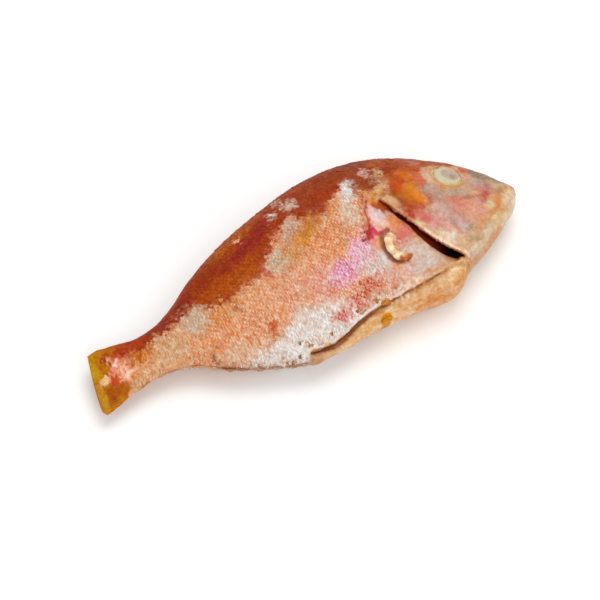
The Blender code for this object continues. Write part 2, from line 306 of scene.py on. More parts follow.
def mesh_from(name, points, faces):
    mesh = bpy.data.meshes.new(name)
    mesh.from_pydata([tuple(p) for p in points], [], faces)
    work = bmesh.new()
    work.from_mesh(mesh)
    bmesh.ops.remove_doubles(work, verts=work.verts, dist=1e-7)
    bmesh.ops.recalc_face_normals(work, faces=work.faces)
    work.to_mesh(mesh)
    work.free()
    return mesh


def loft(name, rings):
    """A closed mesh through rings of equal length, with flat ends."""
    count, size = len(rings), len(rings[0])
    faces = []
    for i in range(count - 1):
        for k in range(size):
            after = (k + 1) % size
            faces.append((i * size + k, i * size + after, (i + 1) * size + after, (i + 1) * size + k))
    faces.append(tuple(range(size)))
    faces.append(tuple((count - 1) * size + k for k in range(size)))
    return mesh_from(name, [p for ring in rings for p in ring], faces)


def evaluated(thing):
    """The object's mesh with its modifiers applied. The modifiers are removed."""
    graph = bpy.context.evaluated_depsgraph_get()
    mesh = bpy.data.meshes.new_from_object(thing.evaluated_get(graph))
    thing.modifiers.clear()
    thing.data = mesh
    return mesh


def drop(*things):
    for thing in things:
        bpy.data.objects.remove(thing)


def set_layer(mesh, name, kind, values):
    layer = mesh.attributes.get(name) or mesh.attributes.new(name, kind, "POINT")
    field = "color" if kind == "FLOAT_COLOR" else "value"
    layer.data.foreach_set(field, np.asarray(values, np.float32).ravel())


# ---------------------------------------------------------------------------------------------------
# Colours of the fish
# ---------------------------------------------------------------------------------------------------


def paint(red, green, blue):
    """A colour given as it looks, 0 to 255, in the renderer's linear numbers."""
    shown = np.array([red, green, blue]) / 255.0
    return np.where(shown <= 0.04045, shown / 12.92, ((shown + 0.055) / 1.055) ** 2.4)


RUST, DEEP_RUST, MAROON = paint(170, 70, 8), paint(140, 36, 4), paint(146, 40, 22)
OCHRE, ORANGE, PEACH = paint(186, 98, 6), paint(208, 92, 8), paint(220, 164, 126)
CREAM, APRICOT, SALMON = paint(222, 184, 154), paint(214, 122, 62), paint(218, 134, 104)
ROSE, LILAC, VIOLET = paint(212, 108, 96), paint(202, 162, 156), paint(224, 166, 178)
PLUM, MAGENTA, SILVER = paint(186, 84, 112), paint(190, 36, 78), paint(206, 194, 180)
WHITE, BELLY, TAN = paint(224, 218, 214), paint(218, 212, 208), paint(216, 172, 124)
STONE, BRONZE, IVORY = paint(170, 136, 116), paint(164, 92, 38), paint(226, 206, 180)
JAW, BRICK, BARK = paint(230, 196, 166), paint(176, 54, 30), paint(116, 52, 20)
CHERRY, PITCH, GOLD = paint(146, 26, 20), paint(26, 8, 5), paint(206, 140, 16)

# Back colour above this line, flank below it, and the whitish belly below the second one.
BACK_EDGE = [
    (-0.130, 0.009), (-0.115, 0.0085), (-0.100, 0.0095), (-0.084, 0.0115), (-0.070, 0.011), (-0.060, 0.007),
    (-0.046, 0.008), (-0.034, 0.011), (-0.026, 0.014), (-0.018, 0.024), (-0.010, 0.030), (0.000, 0.036),
    (0.010, 0.031), (0.020, 0.029), (0.030, 0.036), (0.040, 0.042), (0.050, 0.034), (0.060, 0.024),
    (0.070, 0.004), (0.080, 0.004), (0.086, 0.020), (0.092, 0.034), (0.100, 0.036), (0.116, 0.032),
    (0.150, 0.030),
]
WHITE_EDGE = [
    (-0.130, -0.030), (-0.060, -0.030), (-0.040, -0.026), (-0.020, -0.021), (0.000, -0.024),
    (0.020, -0.032), (0.040, -0.034), (0.150, -0.060),
]

Patch = namedtuple("Patch", "x y rx ry turn soft tint fleck amount")
# Patches of colour on the skin, laid over one another in this order. Places and sizes in millimetres.
PATCHES = [
    # back and flank
    Patch(-45, 18, 24, 6.5, 6, 0.4, paint(168, 68, 4), paint(176, 84, 6), 0.7),
    Patch(-40, 13, 14, 3.5, 5, 0.5, paint(184, 90, 10), paint(168, 74, 4), 0.6),
    Patch(-32, 46, 24, 5, 22, 0.5, paint(172, 78, 10), paint(186, 100, 14), 0.6),
    Patch(-26, 35, 24, 4.6, 25, 0.4, MAROON, paint(160, 40, 30), 0.6),
    Patch(-58, 30, 12, 5, 28, 0.5, paint(158, 58, 4), DEEP_RUST, 0.6),
    Patch(-76, 20, 9, 4.5, 30, 0.4, paint(138, 38, 16), MAROON, 0.6),
    Patch(-92, 15.5, 15, 3.2, 6, 0.4, paint(146, 50, 34), MAROON, 0.6),
    Patch(-110, 13, 12, 4, 0, 0.5, paint(168, 56, 14), DEEP_RUST, 0.5),
    Patch(15, 49, 16, 7, 8, 0.6, paint(156, 58, 20), paint(166, 80, 40), 0.7),
    Patch(16, 32, 9, 4.5, 10, 0.5, paint(158, 58, 44), MAROON, 0.7),
    Patch(36, 53, 16, 6, -4, 0.6, paint(154, 66, 12), DEEP_RUST, 0.6),
    Patch(50, 44, 7, 10, 0, 0.6, paint(178, 78, 24), MAROON, 0.6),
    Patch(-26, 11.5, 2.6, 5, 6, 0.5, paint(190, 82, 64), paint(176, 60, 50), 0.6),
    Patch(8, 23, 15, 7, 14, 0.5, paint(204, 140, 76), paint(196, 110, 20), 0.9),
    Patch(2, 18, 9, 4, 20, 0.5, paint(206, 144, 44), paint(200, 120, 12), 0.8),
    Patch(-10, 12, 8, 6, 0, 0.6, paint(206, 156, 104), OCHRE, 0.6),
    Patch(22, 14, 13, 10, 0, 0.6, paint(214, 156, 116), paint(204, 108, 44), 0.9),
    Patch(-60, 2, 14, 6, 0, 0.6, paint(218, 160, 106), paint(206, 112, 30), 0.9),
    Patch(-50, -1.5, 2.2, 3.4, 0, 0.5, paint(198, 116, 50), BRONZE, 0.6),
    Patch(-60, -22, 15, 5, 4, 0.6, paint(216, 180, 150), paint(212, 150, 112), 0.6),
    Patch(-45, -17, 12, 9, 0, 0.6, paint(222, 174, 136), paint(208, 116, 66), 0.9),
    Patch(-40, -20.5, 3.0, 5.0, 12, 0.5, paint(206, 110, 60), BRICK, 0.6),
    Patch(-12, -8, 18, 10, 0, 0.7, paint(218, 168, 140), paint(212, 124, 84), 0.8),
    Patch(4, -13, 12, 9, 0, 0.7, paint(218, 170, 154), ROSE, 0.8),
    Patch(17, -10, 13, 6.5, 22, 0.6, paint(226, 188, 204), paint(206, 112, 150), 1.0),
    Patch(29, -2, 7, 7, 30, 0.6, paint(228, 188, 206), paint(212, 122, 156), 0.8),
    Patch(30, -16, 9, 8, 20, 0.5, paint(212, 202, 198), LILAC, 0.6),
    Patch(20, -27.5, 12, 5.5, 14, 0.4, paint(210, 148, 118), paint(188, 70, 40), 1.0),
    Patch(3, -31.5, 10, 3.0, 5, 0.5, paint(216, 170, 156), paint(198, 76, 76), 1.0),
    # where scales are lost
    Patch(-76, 6, 8, 8, 20, 0.45, paint(196, 174, 150), paint(200, 150, 120), 0.6),
    Patch(-94, 0, 9, 8, 0, 0.6, paint(206, 158, 112), paint(214, 172, 138), 0.5),
    Patch(-18, 13, 5.0, 9, -8, 0.5, paint(194, 178, 156), paint(196, 140, 96), 0.6),
    Patch(-8, 24, 5.5, 3.4, 40, 0.5, paint(192, 160, 132), paint(190, 120, 76), 0.6),
    Patch(-1, 31, 4.0, 7.0, -28, 0.5, paint(194, 172, 154), paint(190, 126, 92), 0.6),
    Patch(40, 36, 5.4, 8.0, -6, 0.45, paint(214, 214, 216), paint(212, 190, 176), 0.6),
    Patch(34, 22, 4.8, 11, -5, 0.5, paint(210, 194, 180), paint(206, 158, 122), 0.8),
    Patch(-6, 43, 2.6, 2.6, 0, 0.35, paint(204, 180, 160), SILVER, 0.5),
    Patch(7, 46.5, 4.6, 3.6, 10, 0.5, paint(200, 150, 128), SILVER, 0.9),
    Patch(-30, 40.5, 2.2, 1.6, 0, 0.3, paint(226, 150, 112), CREAM, 0.4),
    Patch(2, 55, 3.0, 2.6, 0, 0.4, paint(196, 140, 112), SILVER, 0.6),
    # tail root and web
    Patch(-137, 4, 13.5, 26, -8, 0.12, paint(184, 116, 6), paint(164, 84, 2), 0.8),
    Patch(-139, 12, 5.5, 9, 0, 0.5, paint(198, 150, 14), paint(180, 118, 6), 0.6),
    Patch(-127, 18.5, 5, 3.5, 0, 0.5, paint(172, 96, 4), paint(158, 74, 2), 0.6),
    Patch(-128.5, 13.6, 2.6, 2.4, 0, 0.5, paint(156, 58, 2), DEEP_RUST, 0.5),
    Patch(-133, -8.5, 9, 5, 15, 0.5, paint(168, 88, 2), paint(150, 62, 2), 0.7),
    Patch(-142, -6, 2.6, 9, -6, 0.5, paint(196, 148, 34), OCHRE, 0.5),
    Patch(-124.5, 3.5, 7.5, 8.5, 12, 0.25, paint(212, 122, 80), paint(230, 176, 146), 1.0),
    Patch(-121, 10, 4.2, 3.4, 0, 0.5, paint(192, 78, 46), BRICK, 0.5),
    Patch(-130.5, 6, 2.6, 3.2, 0, 0.5, paint(192, 104, 14), RUST, 0.6),
    Patch(-135.6, 1.8, 5, 2.6, 25, 0.35, paint(228, 180, 116), paint(238, 204, 166), 0.9),
    Patch(-128.5, -1.6, 2.8, 2.6, 0, 0.5, paint(188, 76, 24), BRICK, 0.6),
    Patch(-124.7, 7.4, 2.0, 1.6, 0, 0.4, paint(238, 184, 164), WHITE, 0.4),
    Patch(-121.3, 0.3, 2.8, 1.6, 20, 0.4, paint(240, 190, 164), WHITE, 0.4),
    Patch(-127, 4.8, 1.8, 1.4, 0, 0.4, paint(228, 124, 112), ROSE, 0.4),
    Patch(-118.8, -5.1, 2.6, 2.2, 0, 0.5, paint(206, 118, 18), OCHRE, 0.5),
    Patch(-110, 4, 8, 4.6, 0, 0.5, paint(198, 102, 14), paint(218, 144, 72), 0.8),
]
HEAD_PATCHES = [
    # nape and the upper gill cover
    Patch(76, 30, 12, 26, 8, 0.35, paint(204, 96, 16), paint(176, 56, 16), 0.8),
    Patch(79, 44, 9, 7, -10, 0.5, paint(206, 92, 24), paint(176, 60, 16), 0.8),
    Patch(90, 40, 5, 4, -20, 0.5, paint(204, 96, 56), MAROON, 0.6),
    Patch(73, 40, 5, 8, -12, 0.5, paint(176, 66, 8), paint(156, 44, 6), 0.7),
    Patch(78, 35, 5, 5, 0, 0.5, paint(214, 106, 8), paint(190, 74, 4), 0.7),
    Patch(83, 43, 5, 4, 10, 0.5, paint(186, 78, 40), MAROON, 0.7),
    Patch(72, 28, 3, 3, 0, 0.5, paint(208, 82, 28), BRICK, 0.6),
    Patch(84.5, 27, 3.0, 6.5, 0, 0.5, paint(218, 108, 74), paint(206, 78, 50), 0.6),
    Patch(76, 21, 5, 5, 40, 0.5, paint(226, 128, 40), paint(196, 112, 4), 0.8),
    Patch(76.5, 13, 4.2, 6, 4, 0.45, paint(238, 128, 30), paint(206, 94, 4), 0.8),
    Patch(73.6, 8, 2.6, 2.4, 0, 0.5, paint(202, 66, 6), DEEP_RUST, 0.5),
    Patch(68, 25, 3.2, 6, 0, 0.5, paint(196, 64, 14), paint(206, 80, 40), 0.8),
    Patch(66, 20, 2.4, 5, 0, 0.5, paint(164, 76, 4), paint(140, 50, 4), 0.7),
    Patch(69, 15, 4, 5, 0, 0.6, paint(208, 110, 20), OCHRE, 0.8),
    Patch(63.5, 13.5, 3.6, 4.6, 10, 0.5, paint(168, 84, 52), BARK, 0.6),
    Patch(65.5, 8, 5.2, 6.0, 10, 0.4, paint(186, 76, 34), paint(160, 44, 14), 0.8),
    Patch(65.3, 2.6, 2.6, 2.8, 20, 0.45, paint(198, 46, 4), paint(176, 28, 6), 0.6),
    Patch(70.5, 3, 3.0, 4.0, 0, 0.5, paint(208, 96, 62), ROSE, 0.6),
    Patch(60.5, 20, 2.2, 6, 4, 0.5, paint(222, 164, 114), paint(232, 186, 146), 0.8),
    Patch(61, 31, 3.6, 9, -8, 0.5, paint(216, 162, 124), RUST, 0.7),
    Patch(57.5, 28, 4.6, 2.2, 30, 0.5, paint(232, 184, 126), APRICOT, 0.6),
    Patch(58.6, 24.6, 2.2, 1.8, 0, 0.5, paint(192, 116, 50), BRONZE, 0.6),
    Patch(52.5, 26, 3.6, 1.4, 14, 0.5, paint(222, 150, 76), OCHRE, 0.6),
    Patch(58, 45, 3.0, 4.6, -10, 0.4, paint(218, 170, 154), ROSE, 0.5),
    Patch(66, 42.5, 2.0, 4, -10, 0.4, paint(218, 168, 124), CREAM, 0.4),
    # gill cover and cheek
    Patch(85.5, 13, 5.6, 9, 6, 0.5, paint(192, 156, 132), paint(172, 132, 112), 0.7),
    Patch(82, 10.5, 1.8, 4.4, 0, 0.5, paint(196, 100, 70), BRICK, 0.7),
    Patch(87, 17.5, 2.6, 2.6, 0, 0.5, paint(204, 150, 134), LILAC, 0.6),
    Patch(80, -5, 10, 11, 0, 0.5, paint(214, 160, 144), paint(212, 126, 112), 0.8),
    Patch(79.5, 4, 3.6, 2.6, 0, 0.5, paint(218, 168, 140), ROSE, 0.6),
    Patch(71.5, -1.5, 2.6, 3.6, 0, 0.5, paint(218, 112, 104), ROSE, 0.6),
    Patch(75.5, -7, 3.0, 3.4, 20, 0.5, paint(224, 150, 144), ROSE, 0.6),
    Patch(81, -13, 3.6, 2.6, 0, 0.5, paint(224, 156, 142), ROSE, 0.7),
    Patch(86, -10, 1.8, 1.8, 0, 0.5, paint(172, 120, 102), BARK, 0.5),
    Patch(87.5, -4, 4.0, 8.5, 8, 0.5, paint(200, 164, 156), LILAC, 0.7),
    Patch(91.5, -13, 3.0, 6, 14, 0.5, paint(208, 176, 174), LILAC, 0.6),
    Patch(85, -17, 2.6, 4, 10, 0.5, paint(212, 158, 140), ROSE, 0.6),
    # the next three patches: pale cream to nearly white along the lower gill cover's edge, painted highlight where the
    # raised edge catches the light
    Patch(74.5, -15, 4.2, 3.4, -20, 0.5, paint(226, 194, 160), paint(214, 160, 122), 0.8),
    Patch(79, -20, 4.8, 5.4, -24, 0.45, paint(242, 214, 192), paint(228, 182, 156), 0.7),
    Patch(66.8, -5, 1.8, 2.6, 20, 0.5, paint(228, 184, 144), APRICOT, 0.5),
    Patch(96, -2, 8, 9, -20, 0.4, paint(222, 140, 118), paint(216, 116, 98), 0.8),
    Patch(103, -8, 7.5, 4.4, -10, 0.5, paint(226, 156, 128), SALMON, 0.7),
    Patch(94, 5, 4.2, 3.2, -20, 0.5, paint(216, 136, 114), ROSE, 0.7),
    Patch(105, 3.8, 4.6, 1.9, -6, 0.5, paint(192, 126, 104), paint(178, 104, 86), 0.7),
    Patch(101, 8.8, 9, 2.8, -8, 0.5, paint(200, 160, 138), STONE, 0.8),
    Patch(109, -2.5, 4.4, 3.4, 0, 0.5, paint(218, 156, 134), SALMON, 0.6),
    Patch(98, -12, 6, 2.8, -20, 0.5, paint(214, 152, 130), TAN, 0.6),
    Patch(95.6, -16.5, 2.6, 1.8, 10, 0.5, paint(196, 160, 124), BARK, 0.4),
    # snout and lips
    Patch(116, 15, 6.5, 6.5, -40, 0.5, paint(196, 160, 144), paint(186, 142, 130), 0.7),
    Patch(117, 7.6, 4.6, 2.2, -14, 0.5, paint(202, 140, 130), ROSE, 0.6),
    Patch(124, 17, 7.5, 3.8, -38, 0.45, paint(164, 134, 112), paint(142, 110, 90), 0.8),
    Patch(121, 23, 4, 5, -38, 0.5, paint(158, 130, 116), paint(128, 98, 84), 0.7),
    Patch(131, 12, 5.5, 2.8, -40, 0.45, paint(160, 130, 104), paint(138, 104, 80), 0.8),
    Patch(122.8, 8.4, 2.2, 3.8, -10, 0.5, paint(182, 128, 112), paint(168, 104, 92), 0.7),
    Patch(129.5, 7.4, 4.6, 1.8, -6, 0.5, paint(196, 168, 136), TAN, 0.5),
    Patch(129, 3.4, 6.0, 2.0, 14, 0.5, paint(176, 146, 102), paint(156, 122, 82), 0.7),
    Patch(116.8, 2.6, 4.8, 2.6, 8, 0.5, paint(200, 94, 92), paint(186, 66, 70), 0.8),
    Patch(114.4, -1.8, 2.4, 3.0, 10, 0.5, paint(210, 100, 78), BRICK, 0.6),
    Patch(134.5, 2.5, 4.2, 2.8, -10, 0.5, paint(224, 182, 136), ORANGE, 0.3),
    Patch(115.6, -4.6, 3.4, 2.6, 30, 0.5, paint(228, 188, 146), TAN, 0.5),
    Patch(121.5, -5, 5.4, 3.0, 48, 0.45, paint(222, 156, 96), paint(206, 118, 40), 0.7),
    Patch(115.5, -9.5, 5.4, 1.9, 14, 0.5, paint(220, 160, 104), ORANGE, 0.4),
    Patch(108, -13, 6, 2.2, 4, 0.5, paint(222, 168, 126), APRICOT, 0.6),
    Patch(117, -14, 7, 2.8, 26, 0.5, paint(232, 192, 146), paint(224, 168, 108), 0.7),
    Patch(129, -4, 5.2, 3.2, 36, 0.5, paint(234, 194, 162), TAN, 0.5),
    Patch(136, -3.6, 6, 2.8, 36, 0.5, paint(240, 212, 186), paint(230, 198, 168), 0.6),
    Patch(127, -11.5, 9, 2.2, 32, 0.5, paint(232, 202, 174), JAW, 0.6),
    Patch(107, -17, 5, 1.4, 16, 0.5, paint(204, 162, 124), BRONZE, 0.4),
    # jaw and throat
    Patch(104, -21, 10, 2.4, 24, 0.5, paint(220, 186, 152), JAW, 0.6),
    Patch(95, -22.4, 5.2, 1.6, 8, 0.5, paint(194, 156, 118), BRONZE, 0.5),
    Patch(86, -21.5, 3.4, 3.2, 0, 0.5, paint(222, 180, 142), APRICOT, 0.6),
    Patch(93, -26.5, 8, 2.2, 14, 0.5, paint(224, 190, 154), JAW, 0.6),
    Patch(90, -29.2, 3.0, 1.2, 10, 0.5, paint(216, 186, 170), ROSE, 0.4),
    # round the eye
    Patch(90.2, 25, 2.4, 6.4, 4, 0.5, paint(224, 184, 152), SALMON, 0.5),
    Patch(90.5, 33, 3.4, 2.2, 30, 0.5, paint(220, 150, 124), SALMON, 0.5),
    Patch(100.5, 36.4, 7.5, 2.2, -8, 0.45, paint(178, 88, 36), paint(148, 60, 18), 0.7),
    Patch(110.5, 33, 5, 2.0, -34, 0.45, paint(186, 88, 60), paint(166, 64, 40), 0.7),
    Patch(115.5, 26, 2.4, 5.4, -14, 0.45, paint(212, 108, 74), BRICK, 0.6),
    Patch(114.5, 17.5, 2.2, 3.6, -50, 0.5, paint(222, 156, 124), SALMON, 0.5),
]
SHOULDER_PATCHES = [
    # bared behind the gill cover
    Patch(50, 8, 9, 13, 12, 0.3, paint(222, 170, 150), SALMON, 0.7),
    Patch(47.5, 12, 3.4, 5.5, 14, 0.5, paint(220, 196, 196), paint(226, 170, 170), 0.5),
    Patch(43.2, 7, 2.2, 4.0, 14, 0.5, paint(226, 156, 144), ROSE, 0.6),
    Patch(48.5, 5, 3.0, 2.2, 0, 0.5, paint(236, 196, 166), CREAM, 0.5),
    Patch(54.5, 3, 4.6, 7.0, 20, 0.5, paint(236, 144, 96), ORANGE, 0.5),
    Patch(58.2, -0.5, 1.8, 4.0, 16, 0.5, paint(204, 106, 62), BRICK, 0.6),
    Patch(55.5, -5.5, 5.0, 4.4, 10, 0.5, paint(226, 122, 106), ROSE, 0.7),
    Patch(48.5, -5, 4.0, 5.2, 0, 0.5, paint(220, 124, 100), ROSE, 0.7),
    Patch(51, -12.5, 6, 3.6, 0, 0.6, paint(218, 164, 150), SALMON, 0.7),
    Patch(55.5, -20.5, 11, 7.5, -22, 0.4, paint(222, 190, 176), paint(208, 158, 142), 0.8),
    Patch(47, -21, 2.8, 2.4, 30, 0.5, paint(204, 160, 136), BRONZE, 0.6),
    Patch(66, -27.5, 4.4, 3.6, -30, 0.5, paint(208, 170, 146), TAN, 0.6),
    Patch(50, -28, 12, 3.0, 0, 0.6, paint(222, 194, 180), LILAC, 0.6),
    Patch(37, -26, 8, 5, 0, 0.6, paint(210, 172, 150), ROSE, 0.6),
    # brown at the top of the gill opening: the flesh's colour, darkened as painted shade of the opening
    Patch(51.6, 17.6, 3.0, 5.6, 24, 0.4, paint(180, 82, 26), paint(150, 50, 10), 0.6),
    Patch(51, 22.6, 2.4, 1.8, 20, 0.5, paint(204, 110, 14), OCHRE, 0.5),
    Patch(38.0, 1.6, 4.2, 3.6, 48, 0.5, paint(192, 50, 84), paint(206, 92, 116), 0.8),
    Patch(42.0, 0.6, 2.4, 1.6, 20, 0.5, paint(196, 60, 72), MAGENTA, 0.5),
]
SHOULDER_LINE = [(0.0480, 0.0268), (0.0448, 0.0225), (0.0425, 0.0170), (0.0400, 0.0110), (0.0382, 0.0060), (0.0350, 0.0000)]
PREOPERCLE = [
    (0.0835, 0.0150), (0.0862, 0.0090), (0.0896, 0.0045), (0.0912, -0.0010), (0.0928, -0.0060),
    (0.0940, -0.0110), (0.0925, -0.0165), (0.0880, -0.0220),
]
LIP_FOLD = [
    (0.1345, 0.0048), (0.1300, 0.0042), (0.1262, 0.0022), (0.1238, -0.0015), (0.1215, -0.0055), (0.1170, -0.0092),
    (0.1110, -0.0120), (0.1040, -0.0134),
]
CHEEK_FOLD = [(0.0920, 0.0090), (0.0990, 0.0066), (0.1060, 0.0040), (0.1110, -0.0005), (0.1145, -0.0050)]
# (line, width, strength, colour) of the thin coloured creases of the head
CREASES = [
    (MOUTH_LINE, 0.0014, 0.40, paint(196, 150, 112)), (LIP_FOLD, 0.0015, 0.50, paint(196, 118, 56)),
    (CHEEK_FOLD, 0.0013, 0.40, paint(176, 112, 90)),
]
# Painted shadow cast by the right pectoral stub's raised rim: a dark brown line on the skin behind it.
FIN_SHADE = [
    (0.0470, 0.0012), (0.0415, -0.0015), (0.0392, -0.0080), (0.0388, -0.0130), (0.0405, -0.0180),
    (0.0435, -0.0205),
]


def wash(layers, mask, tint, fleck, amount):
    """Lays one colour with its flecks over what is there."""
    share = mask[:, None]
    layers[:] = [
        layers[0] + (tint - layers[0]) * share,
        layers[1] + (fleck - layers[1]) * share,
        layers[2] + (amount - layers[2]) * mask,
    ]


def lay_patches(layers, patches, x, y, ragged, share, softer=0.0):
    """Washes the patches on, one over another, with ragged edges."""
    for patch in patches:
        turn = math.radians(patch.turn)
        dx, dy = x / MM - patch.x, y / MM - patch.y
        along = (dx * math.cos(turn) + dy * math.sin(turn)) / patch.rx
        across = (dy * math.cos(turn) - dx * math.sin(turn)) / patch.ry
        mask = ramp(np.hypot(along, across) + ragged, 1 + patch.soft + softer, 1 - patch.soft - softer)
        wash(layers, mask * share, patch.tint, patch.fleck, patch.amount)


def skin_colours(points):
    """Tint, fleck colour and amount of flecks for upright points of the skin."""
    x, y, z = points.T
    depth = depth_under_skin(points)
    plan = np.stack([x, y, 0.6 * z], 1)
    tall = np.stack([x / 0.0013, y / 0.0048, z / 0.0040], 1)
    streak = cloud(tall, 1.0, 5)
    body = ramp(x, 0.058, 0.044)
    rough = cloud(plan, 0.0042, 2)
    wide = 0.4 + 0.6 * body
    wx = x + 0.0020 * wide * cloud(plan, 0.011, 1) + 0.0011 * rough + 0.0008 * cloud(plan, 0.0017, 6)
    wy = y + 0.0020 * wide * cloud(plan, 0.011, 3) + 0.0010 * cloud(plan, 0.0038, 4) + 0.0036 * body * streak
    layers = [np.tile(PEACH, (len(x), 1)), np.tile(APRICOT, (len(x), 1)), np.full(len(x), 0.9)]
    wash(layers, ramp(wx, -0.070, -0.100), paint(212, 168, 128), APRICOT, 0.5)
    wash(layers, ramp(wy - line_at(WHITE_EDGE, wx), 0.006, -0.005), BELLY, paint(218, 190, 176), 0.5)
    back = ramp(wy - line_at(BACK_EDGE, wx), -0.0026, 0.0030)
    wash(layers, back, RUST, DEEP_RUST, 0.8)
    ragged = 0.20 * cloud(plan, 0.0030, 41) + 0.20 * (body * streak + (1 - body) * cloud(plan, 0.0011, 42))
    far, where, side = off_line(GILL_EDGE, x, y)
    covered = ramp(side * far, -0.0003, 0.0003)
    lay_patches(layers, PATCHES, wx, wy, ragged, 1.0)
    lay_patches(layers, HEAD_PATCHES, wx, wy, ragged, np.maximum(covered, ramp(y, 0.0225, 0.0240)), 0.16)
    lay_patches(layers, SHOULDER_PATCHES, wx, wy, ragged, 1 - covered * ramp(y, 0.030, 0.026))
    front = ramp(x, 0.040, 0.054)[:, None]
    layers[0] = layers[0] * (1 - front * [0.20, 0.11, 0.10])
    layers[1] = layers[1] * (1 - front * [0.20, 0.11, 0.10])
    layers[2] = layers[2] * (1 - 0.35 * ramp(x, 0.058, 0.066))
    # some scales bleached, some stained, in streaks on the body and in blotches on the head
    uneven = body * streak + (1 - body) * cloud(plan, 0.0024, 7)
    bleached = ramp(0.6 * uneven + 0.6 * cloud(plan, 0.0070, 8), 0.10, 0.80)
    pale = bleached * (0.55 * (1 - back) * body + 0.16 * (1 - body)) * ramp(x, -0.122, -0.112)
    wash(layers, pale, paint(210, 188, 168), layers[1], layers[2])
    stained = ramp(0.6 * cloud(tall, 1.0, 9) + 0.5 * rough, 0.10, 0.80) * layers[2] * 0.55
    wash(layers, stained, layers[1], layers[1], layers[2])
    far, where, _ = off_line(SHOULDER_LINE, wx, wy)
    wash(layers, ramp(far, 0.0022, 0.0007) * (0.72 + 0.25 * where), paint(160, 52, 40), CHERRY, 0.5)
    far, where, _ = off_line(PREOPERCLE, x, y)
    wash(layers, ramp(far - 0.0005 * rough, 0.0030, 0.0003) * (0.75 - 0.45 * where), paint(170, 130, 112), STONE, 0.4)
    for line, width, share, tint in CREASES:
        far, where, _ = off_line(line, wx, wy)
        wash(layers, ramp(far, width, 0.25 * width) * share, tint, tint, 0.4)
    # painted shadow of the pectoral stub's rim on the skin behind it
    far, where, _ = off_line(FIN_SHADE, x, y)
    wash(layers, ramp(far - 0.0004 * rough, 0.0024, 0.0005) * 0.8, paint(132, 74, 40), BARK, 0.4)
    far, where, side = off_line(GILL_EDGE, x, y)
    lip = line_at(list(zip(np.linspace(0.0, 1.0, 8), GILL_COVER.hollow)), where)
    # painted shade: the shoulder skin darkens towards the gill opening
    shade = ramp(far - lip - 0.0006 * rough, 0.0024, -0.0014) * (side < 0) * ramp(where, 0.02, 0.15) * ramp(where, 0.99, 0.90)
    wash(layers, shade * 0.75, paint(152, 84, 62), paint(126, 56, 34), 0.6)
    # painted highlight: a pale cream band along the gill cover's raised free edge, where it catches the light
    rim = ramp(far - 0.0010 * rough, 0.0034, 0.0012) * (side > 0) * ramp(where, 0.44, 0.60) * (depth < 0.0012)
    wash(layers, rim, paint(232, 206, 176), paint(214, 160, 124), 0.6)
    belly_skin(layers, x, y, z, wx, wy)
    cut_flesh_and_cavity_shade(layers, points, depth)
    return layers


def belly_skin(layers, x, y, z, wx, wy):
    """The tan breast and lower flap, from the edge of the upper flap round to the other side."""
    far, where, side = off_line(BELLY_EDGE, wx, wy)
    edge = np.interp(x, *np.array(BELLY_EDGE).T)
    bare = ramp(wy - edge, 0.0012, -0.0006) * ramp(x, -0.030, -0.024) * ramp(x, 0.090, 0.082)
    wash(layers, bare, paint(220, 186, 144), paint(208, 154, 98), 0.8)
    plan = np.stack([x * 0.7, y * 1.4, z], 1)
    golden = ramp(cloud(plan, 0.0050, 15) + 0.4 * cloud(plan, 0.0020, 16), -0.10, 0.50) * ramp(x, -0.005, 0.020)
    wash(layers, bare * golden * 0.85, paint(210, 152, 74), paint(196, 122, 48), 0.7)
    pale = ramp(cloud(plan, 0.0042, 17), 0.10, 0.60)
    wash(layers, bare * pale * 0.7, paint(232, 206, 172), paint(220, 176, 130), 0.6)
    low = ramp(y - line_at(BELLY_LINE, x), 0.0045, 0.0005) * ramp(x, 0.020, 0.050)
    wash(layers, bare * low * 0.35, paint(206, 128, 74), paint(190, 84, 50), 0.8)
    # painted shadow under the upper flap's free edge: a brownish band on the breast just below it
    rim = ramp(np.abs(y - edge + 0.0012), 0.0022, 0.0006)
    wash(layers, bare * rim * 0.75, paint(186, 132, 74), paint(160, 92, 44), 0.6)
    # painted shadow: a dark brown line in the slit under the flap's edge, towards the vent
    flap_shadow = ramp(np.abs(y - edge + 0.0008), 0.0016, 0.0007) * ramp(x, -0.029, -0.024) * ramp(x, 0.026, 0.012)
    wash(layers, flap_shadow * 0.85, paint(138, 68, 34), BARK, 0.5)
    stain = ramp(np.hypot(x - 0.0230, (y + 0.0420) * 2.2), 0.0044, 0.0026)
    wash(layers, stain, GOLD, OCHRE, 0.5)
    stain = ramp(np.hypot(x - 0.0250, (y + 0.0362) * 1.2), 0.0036, 0.0012)
    wash(layers, stain, paint(200, 116, 36), BRONZE, 0.5)
    vent = ramp(np.hypot((x + 0.0245) * 0.8, y + 0.0455), 0.0052, 0.0022)
    wash(layers, vent * 0.7, paint(178, 122, 84), paint(146, 86, 52), 0.7)
    anal = ramp(np.abs(z), 0.0042, 0.0014) * ramp(x, -0.080, -0.073) * ramp(x, -0.024, -0.034)
    wash(layers, anal * (y < 0) * 0.8, paint(176, 112, 66), BARK, 0.6)
    spot = ramp(np.hypot(wx + 0.0748, wy + 0.0160), 0.0042, 0.0012)
    wash(layers, spot * 0.8, paint(160, 92, 44), BARK, 0.6)


